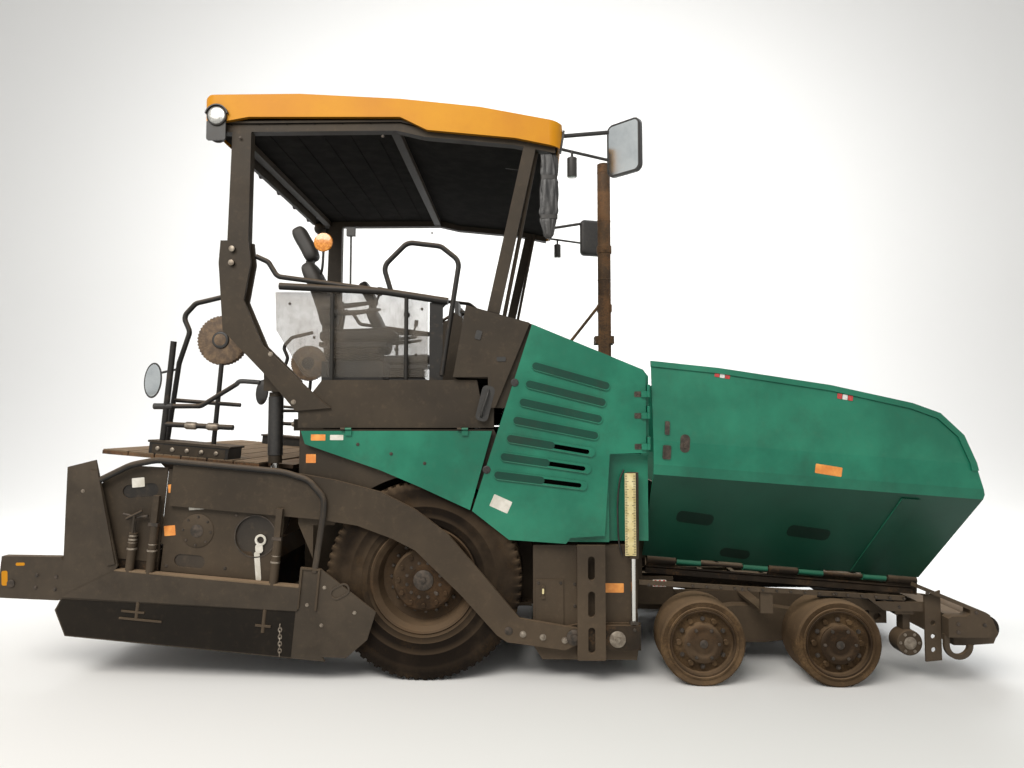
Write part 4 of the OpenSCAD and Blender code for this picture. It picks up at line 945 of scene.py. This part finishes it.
def at_mirror(turn, outline, out):
    """An outline in the plane of a turned mirror; out is towards the rear."""
    c, s = cos(radians(turn)), sin(radians(turn))
    return [(MIRROR[0] + x * c - out * s, MIRROR[1] - x * s - out * c, MIRROR[2] + z) for x, z in outline]


def mirror_plate(turn, x, z, width, height, r, out0, out1):
    """A rounded plate in the mirror's plane, from out0 to out1."""
    return loft([at_mirror(turn, rounded(x, z, width, height, r), out) for out in (out0, out1)])


def mirror_set(turn):
    """Head, two arms, foot and small lamp of one mirror."""
    edge = (MIRROR[0] - 112 * cos(radians(turn)), MIRROR[1] + 112 * sin(radians(turn)))
    return [loft([at_mirror(turn, rounded(0, 0, 260 * g, 360 * g, 42, steps=7), out)
                  for g, out in ((0.80, -34), (0.95, -26), (1.0, -12), (1.0, 20))]),
            bar((355, -1140, 3620), (*edge, 3665), 14), bar((338, -1165, 3520), (*edge, 3465), 10),
            plate([(352, 3640), (330, 3505), (344, 3503), (366, 3638)], -1190, -1120),
            upright(*FRONT_LAMP, [(3326, 31), (3330, 33), (3456, 33), (3460, 26)]),
            upright(*FRONT_LAMP, [(3455, 9), (3509, 9)], 12)]


fixed("mirror_head_right", plastic, mirror_set(42), both=False, old=["mirrors"])
fixed("mirror_head_left", plastic, other_side(mirror_set(15)), both=False, old=["mirrors"])
fixed("mirror_glass_right", mirror_face, [mirror_plate(42, 0, 0, 236, 336, 34, 19.5, 21)], both=False)
fixed("mirror_glass_left", mirror_face,
      other_side([mirror_plate(15, 0, 0, 232, 332, 34, 19.5, 21)]), both=False)
fixed("mirror_rim_right", plastic, [
    *[mirror_plate(42, side * 124, 0, 10, 300, 4, 19, 24) for side in (-1, 1)],
    *[mirror_plate(42, 0, side * 174, 190, 10, 4, 19, 24) for side in (-1, 1)]], both=False)

x, z = REAR_LAMP
fixed("rear_lamp_body", plastic, [
    turned(x, -1243, z, [(66, 0), (66, 24), (62, 27)], 40),
    pad(-1257, -1243, x - 6, z - 95, 130, 134, 14)])
fixed("rear_lamp_lens", lens_glass, [
    turned(x, -1268, z, [(56, 0), (56, 2), (46, 5), (20, 6.8)], 40)])
fixed("rear_lamp_hood", plastic, [
    loft([[(x + r * cos(t), y, z + r * sin(t))
           for r, y in ((71, -1246), (79, -1246), (79, -1274), (71, -1274))]
          for t in np.radians(np.linspace(12, 168, 24))])])
fixed("rear_light_bar", lens_glass, [
    box(-1987, y - 46, TOP - 262, -1985, y + 46, TOP - 214) for y in range(-850, 0, 110)])
fixed("front_lamp_lens", lens_glass, [upright(*FRONT_LAMP, [(3324, 26), (3326, 31), (3333, 31.5)])])
fixed("amber_beacon", amber_glass, [
    turned(-1293, -1080, 2915, [(10, -10), (60, -8), (66, 0), (62, 8), (40, 14), (12, 16)], 36)], both=False)
fixed("beacon_stalk", plastic, [
    tube(curve([(-1293, -1072, 2860), (-1310, -1040, 2740), (-1340, -1000, 2690)]), 9, 10, (0, 1, 0.2)),
    box(-1110, -1172, 2936, -1054, -1140, 2990),
    upright(-1082, -1156, [(2936, 7), (2560, 7)], 10)], both=False)
fixed("joystick", plastic, [
    tube(curve([(x, STICK_Y, z) for x, z in line], steps), r, sides) for line, steps, r, sides in (
        ([(-985, 2495), (-978, 2540), (-962, 2580), (-955, 2606)], 8, 9, 12),
        ([(-957, 2590), (-952, 2625), (-950, 2648)], 6, 19, 16))])
fixed("console_screen", plastic, [box(-470, -260, 2500, -440, -60, 2640)])

LINING = [(-2050, -187), (-745, -187), (-558, -237), (31, -297), (310, -356)]
lower, upper = ([(x, TOP + z + lift) for x, z in LINING] for lift in (-1, 1))
fixed("canopy_lining", lining_felt, [plate(lower + upper[::-1], -1212, 1212)], both=False)
fixed("lining_ribs", lining_felt, [
    box(x, -1210, TOP - 192, x + 8, 1210, TOP - 187.5) for x in range(-1900, -760, 190)], both=False)
fixed("bracket_bolts", bolt_steel, [
    bolts(-1222, 13, 9, [(-1593, 2128), (-1434, 1810)]),
    *[turned(x, -1240, z, [(20, 0), (20, 4), (14, 7)], 20) for x, z in ((-1860, 2834), (-1862, 2740))]])
fixed("shoulder_fittings", plastic, [
    pad(-1246, -1240, -210, 2250, 40, 60, 8, -15),
    pad(-1246, -1240, -60, 2090, 60, 30, 8)])

# %% [markdown]
# The exhaust has welded seams, two bolted clamps and a stay. Each front corner has a
# sloping cover, a step, a post plate with three holes, a lashing hook and a conveyor motor
# with its hose. A row of studs follows the slope of the rail above the front wheels.

# %% Exhaust, nose and underside
EXHAUST = (732, -200)
MOTOR = (2582, 252)

fixed("exhaust_rings", rust, [
    *[band(*EXHAUST, z - 5, z + 5, 54, 40) for z in (2400, 2820, 3300, 3700)],
    box(720, -272, 3052, 744, -258, 3078)], both=False)
fixed("exhaust_clamps", rust, [
    *[band(*EXHAUST, z, z + 60, 60, 40) for z in (2560, 3036)],
    panel([(673, 2097), (759, 2062), (759, 2684), (673, 2684)], [], -273, -261),
    box(700, -262, 2575, 745, -240, 2605), bar((680, -267, 2600), (380, -267, 2222), 12)], both=False)
fixed("nose_cover", dark, [panel(
    [(2583, 652), (3000, 479), (3026, 463), (3035, 438), (3035, 340), (3018, 322), (2767, 322), (2767, 439),
     (2790, 452), (2880, 452), (2905, 470), (2905, 493), (2577, 629)], [], -1262, -1185)])
fixed("nose_step_bar", dark, [
    panel([(2300, 571), (2300, 545), (2345, 512), (2400, 470), (2425, 463), (2690, 463), (2690, 520),
           (2352, 522), (2345, 569)], [], -1186, -1164),
    box(2480, -1170, 440, 2600, -640, 460)])
fixed("nose_post_plate", dark, [
    panel([(2655, 150), (2756, 160), (2756, 600), (2655, 560)],
          [circle(2705, z, 16) for z in (225, 310, 395)], -1199, -1185)])
arcs = [(2850 + r * cos(a), 262 + r * sin(a)) for r, first, last in ((90, 1, 2), (58, 2, 1))
        for a in np.linspace(first * pi, last * pi, 20)]
fixed("nose_hook", dark, [panel([(2760, 331), *arcs, (2792, 331)], [], -1225, -1199)])
fixed("conveyor_motor", dark, [
    turned(MOTOR[0], -1040, MOTOR[1], [(81, 0), (81, 106), (77, 110)], 40),
    box(2555, -1120, 320, 2600, -1040, 441)])
fixed("motor_face", bolt_steel, [
    ring_of_bolts(MOTOR[0], -1150, MOTOR[1], 60, 6, 8, 8),
    turned(MOTOR[0], -1150, MOTOR[1], [(40, 0), (40, 6), (30, 9)], 28)])
fixed("motor_hose", hose_black, [
    tube(curve([(2582, -1100, 420), (2560, -1130, 470), (2440, -1150, 530), (2250, -1150, 545),
                (2000, -1140, 548)]), 11, 12)])
fixed("rail_studs", dark_bolt, [
    turned(x, -1185, 638 - (x - 835) * 0.0551, [(7, 0), (7, 14), (5, 16)], 12)
    for x in range(1180, 2580, 90)])
fixed("hatch_red", red_glass, [
    plate([(x, 610), (x + 14, 610), (x + 22, 650), (x + 8, 650)], -1171.4, -1170) for x in (930, 958, 986)])
fixed("latch_device", bolt_steel, [
    pad(-1214, -1205, 766, 1550, 150, 108, 14),
    pad(-1221, -1213, 766, 1550, 96, 56, 10)])
fixed("level_hose", hose_black, [
    tube(curve([(743, -1180, 1365), (716, -1188, 1299), (701, -1190, 1170), (700, -1190, 1040),
                (706, -1190, 900), (726, -1186, 812)]), 6, 10)])
print("canopy, cab, exhaust and nose fitted")

# %% [markdown]
# The studio is plain: a pale floor that sweeps up into a backdrop, one large soft lamp above
# and in front, weaker ones behind and beside, and an even world. The levels add up to about
# one, so that a colour renders as it is written.

# %% Studio
bend = [(7 + 6 * sin(t), 6 - 6 * cos(t)) for t in np.linspace(0.1, pi / 2, 14)]
sweep = [(-14, 0), (7, 0), *bend, (13, 22)]
mesh = bpy.data.meshes.new("backdrop")
mesh.from_pydata([(x, y, z) for y, z in sweep for x in (-26, 26)], [],
                 [(2 * i, 2 * i + 1, 2 * i + 3, 2 * i + 2) for i in range(len(sweep) - 1)])
mesh.shade_smooth()
mesh.materials.append(Finish("backdrop").done(color=(0.86, 0.86, 0.85), roughness=0.95))
backdrop = bpy.data.objects.new("backdrop", mesh)
bpy.context.scene.collection.objects.link(backdrop)

AMBIENT, SEEN = 0.5, 0.42   # the even light, and what eye and gloss see on top of it
world = bpy.data.worlds.new("studio")
bpy.context.scene.world = world
world.use_nodes = True
tree = world.node_tree
lit = tree.nodes["Background"]
rays = tree.nodes.new("ShaderNodeLightPath")
seen = rays.outputs["Is Camera Ray"]
for kind in ("Is Glossy Ray", "Is Transmission Ray"):
    either = tree.nodes.new("ShaderNodeMath")
    either.operation = "MAXIMUM"
    tree.links.new(seen, either.inputs[0])
    tree.links.new(rays.outputs[kind], either.inputs[1])
    seen = either.outputs[0]
level = tree.nodes.new("ShaderNodeMath")
level.operation = "MULTIPLY_ADD"
tree.links.new(seen, level.inputs[0])
level.inputs[1].default_value, level.inputs[2].default_value = SEEN, AMBIENT
tree.links.new(level.outputs[0], lit.inputs["Strength"])
lit.inputs["Color"].default_value = (1, 0.99, 0.97, 1)


def lamp(name, place, target, size, power, shade):
    """An area lamp at place that faces target."""
    data = bpy.data.lights.new(name, "AREA")
    data.shape, data.size, data.size_y = "RECTANGLE", size[0], size[1]
    data.energy, data.color = power, shade
    made = bpy.data.objects.new(name, data)
    made.location = place
    aim = np.subtract(target, place)
    made.rotation_euler = (acos(-aim[2] / np.linalg.norm(aim)), 0,
                           atan2(aim[0], -aim[1]) + pi)
    bpy.context.scene.collection.objects.link(made)


lamp("key", (-3.0, -7.5, 7.5), (0, 0, 1.3), (7, 4), 820, (1, 0.96, 0.9))
lamp("far_side", (3.5, 6.0, 8.5), (0, 0, 1.5), (7, 4), 400, (0.95, 0.98, 1))
lamp("backdrop_wash", (0, 3.0, 9.0), (0, 12, 4), (14, 3), 1300, (1, 1, 1))
print("studio ready")
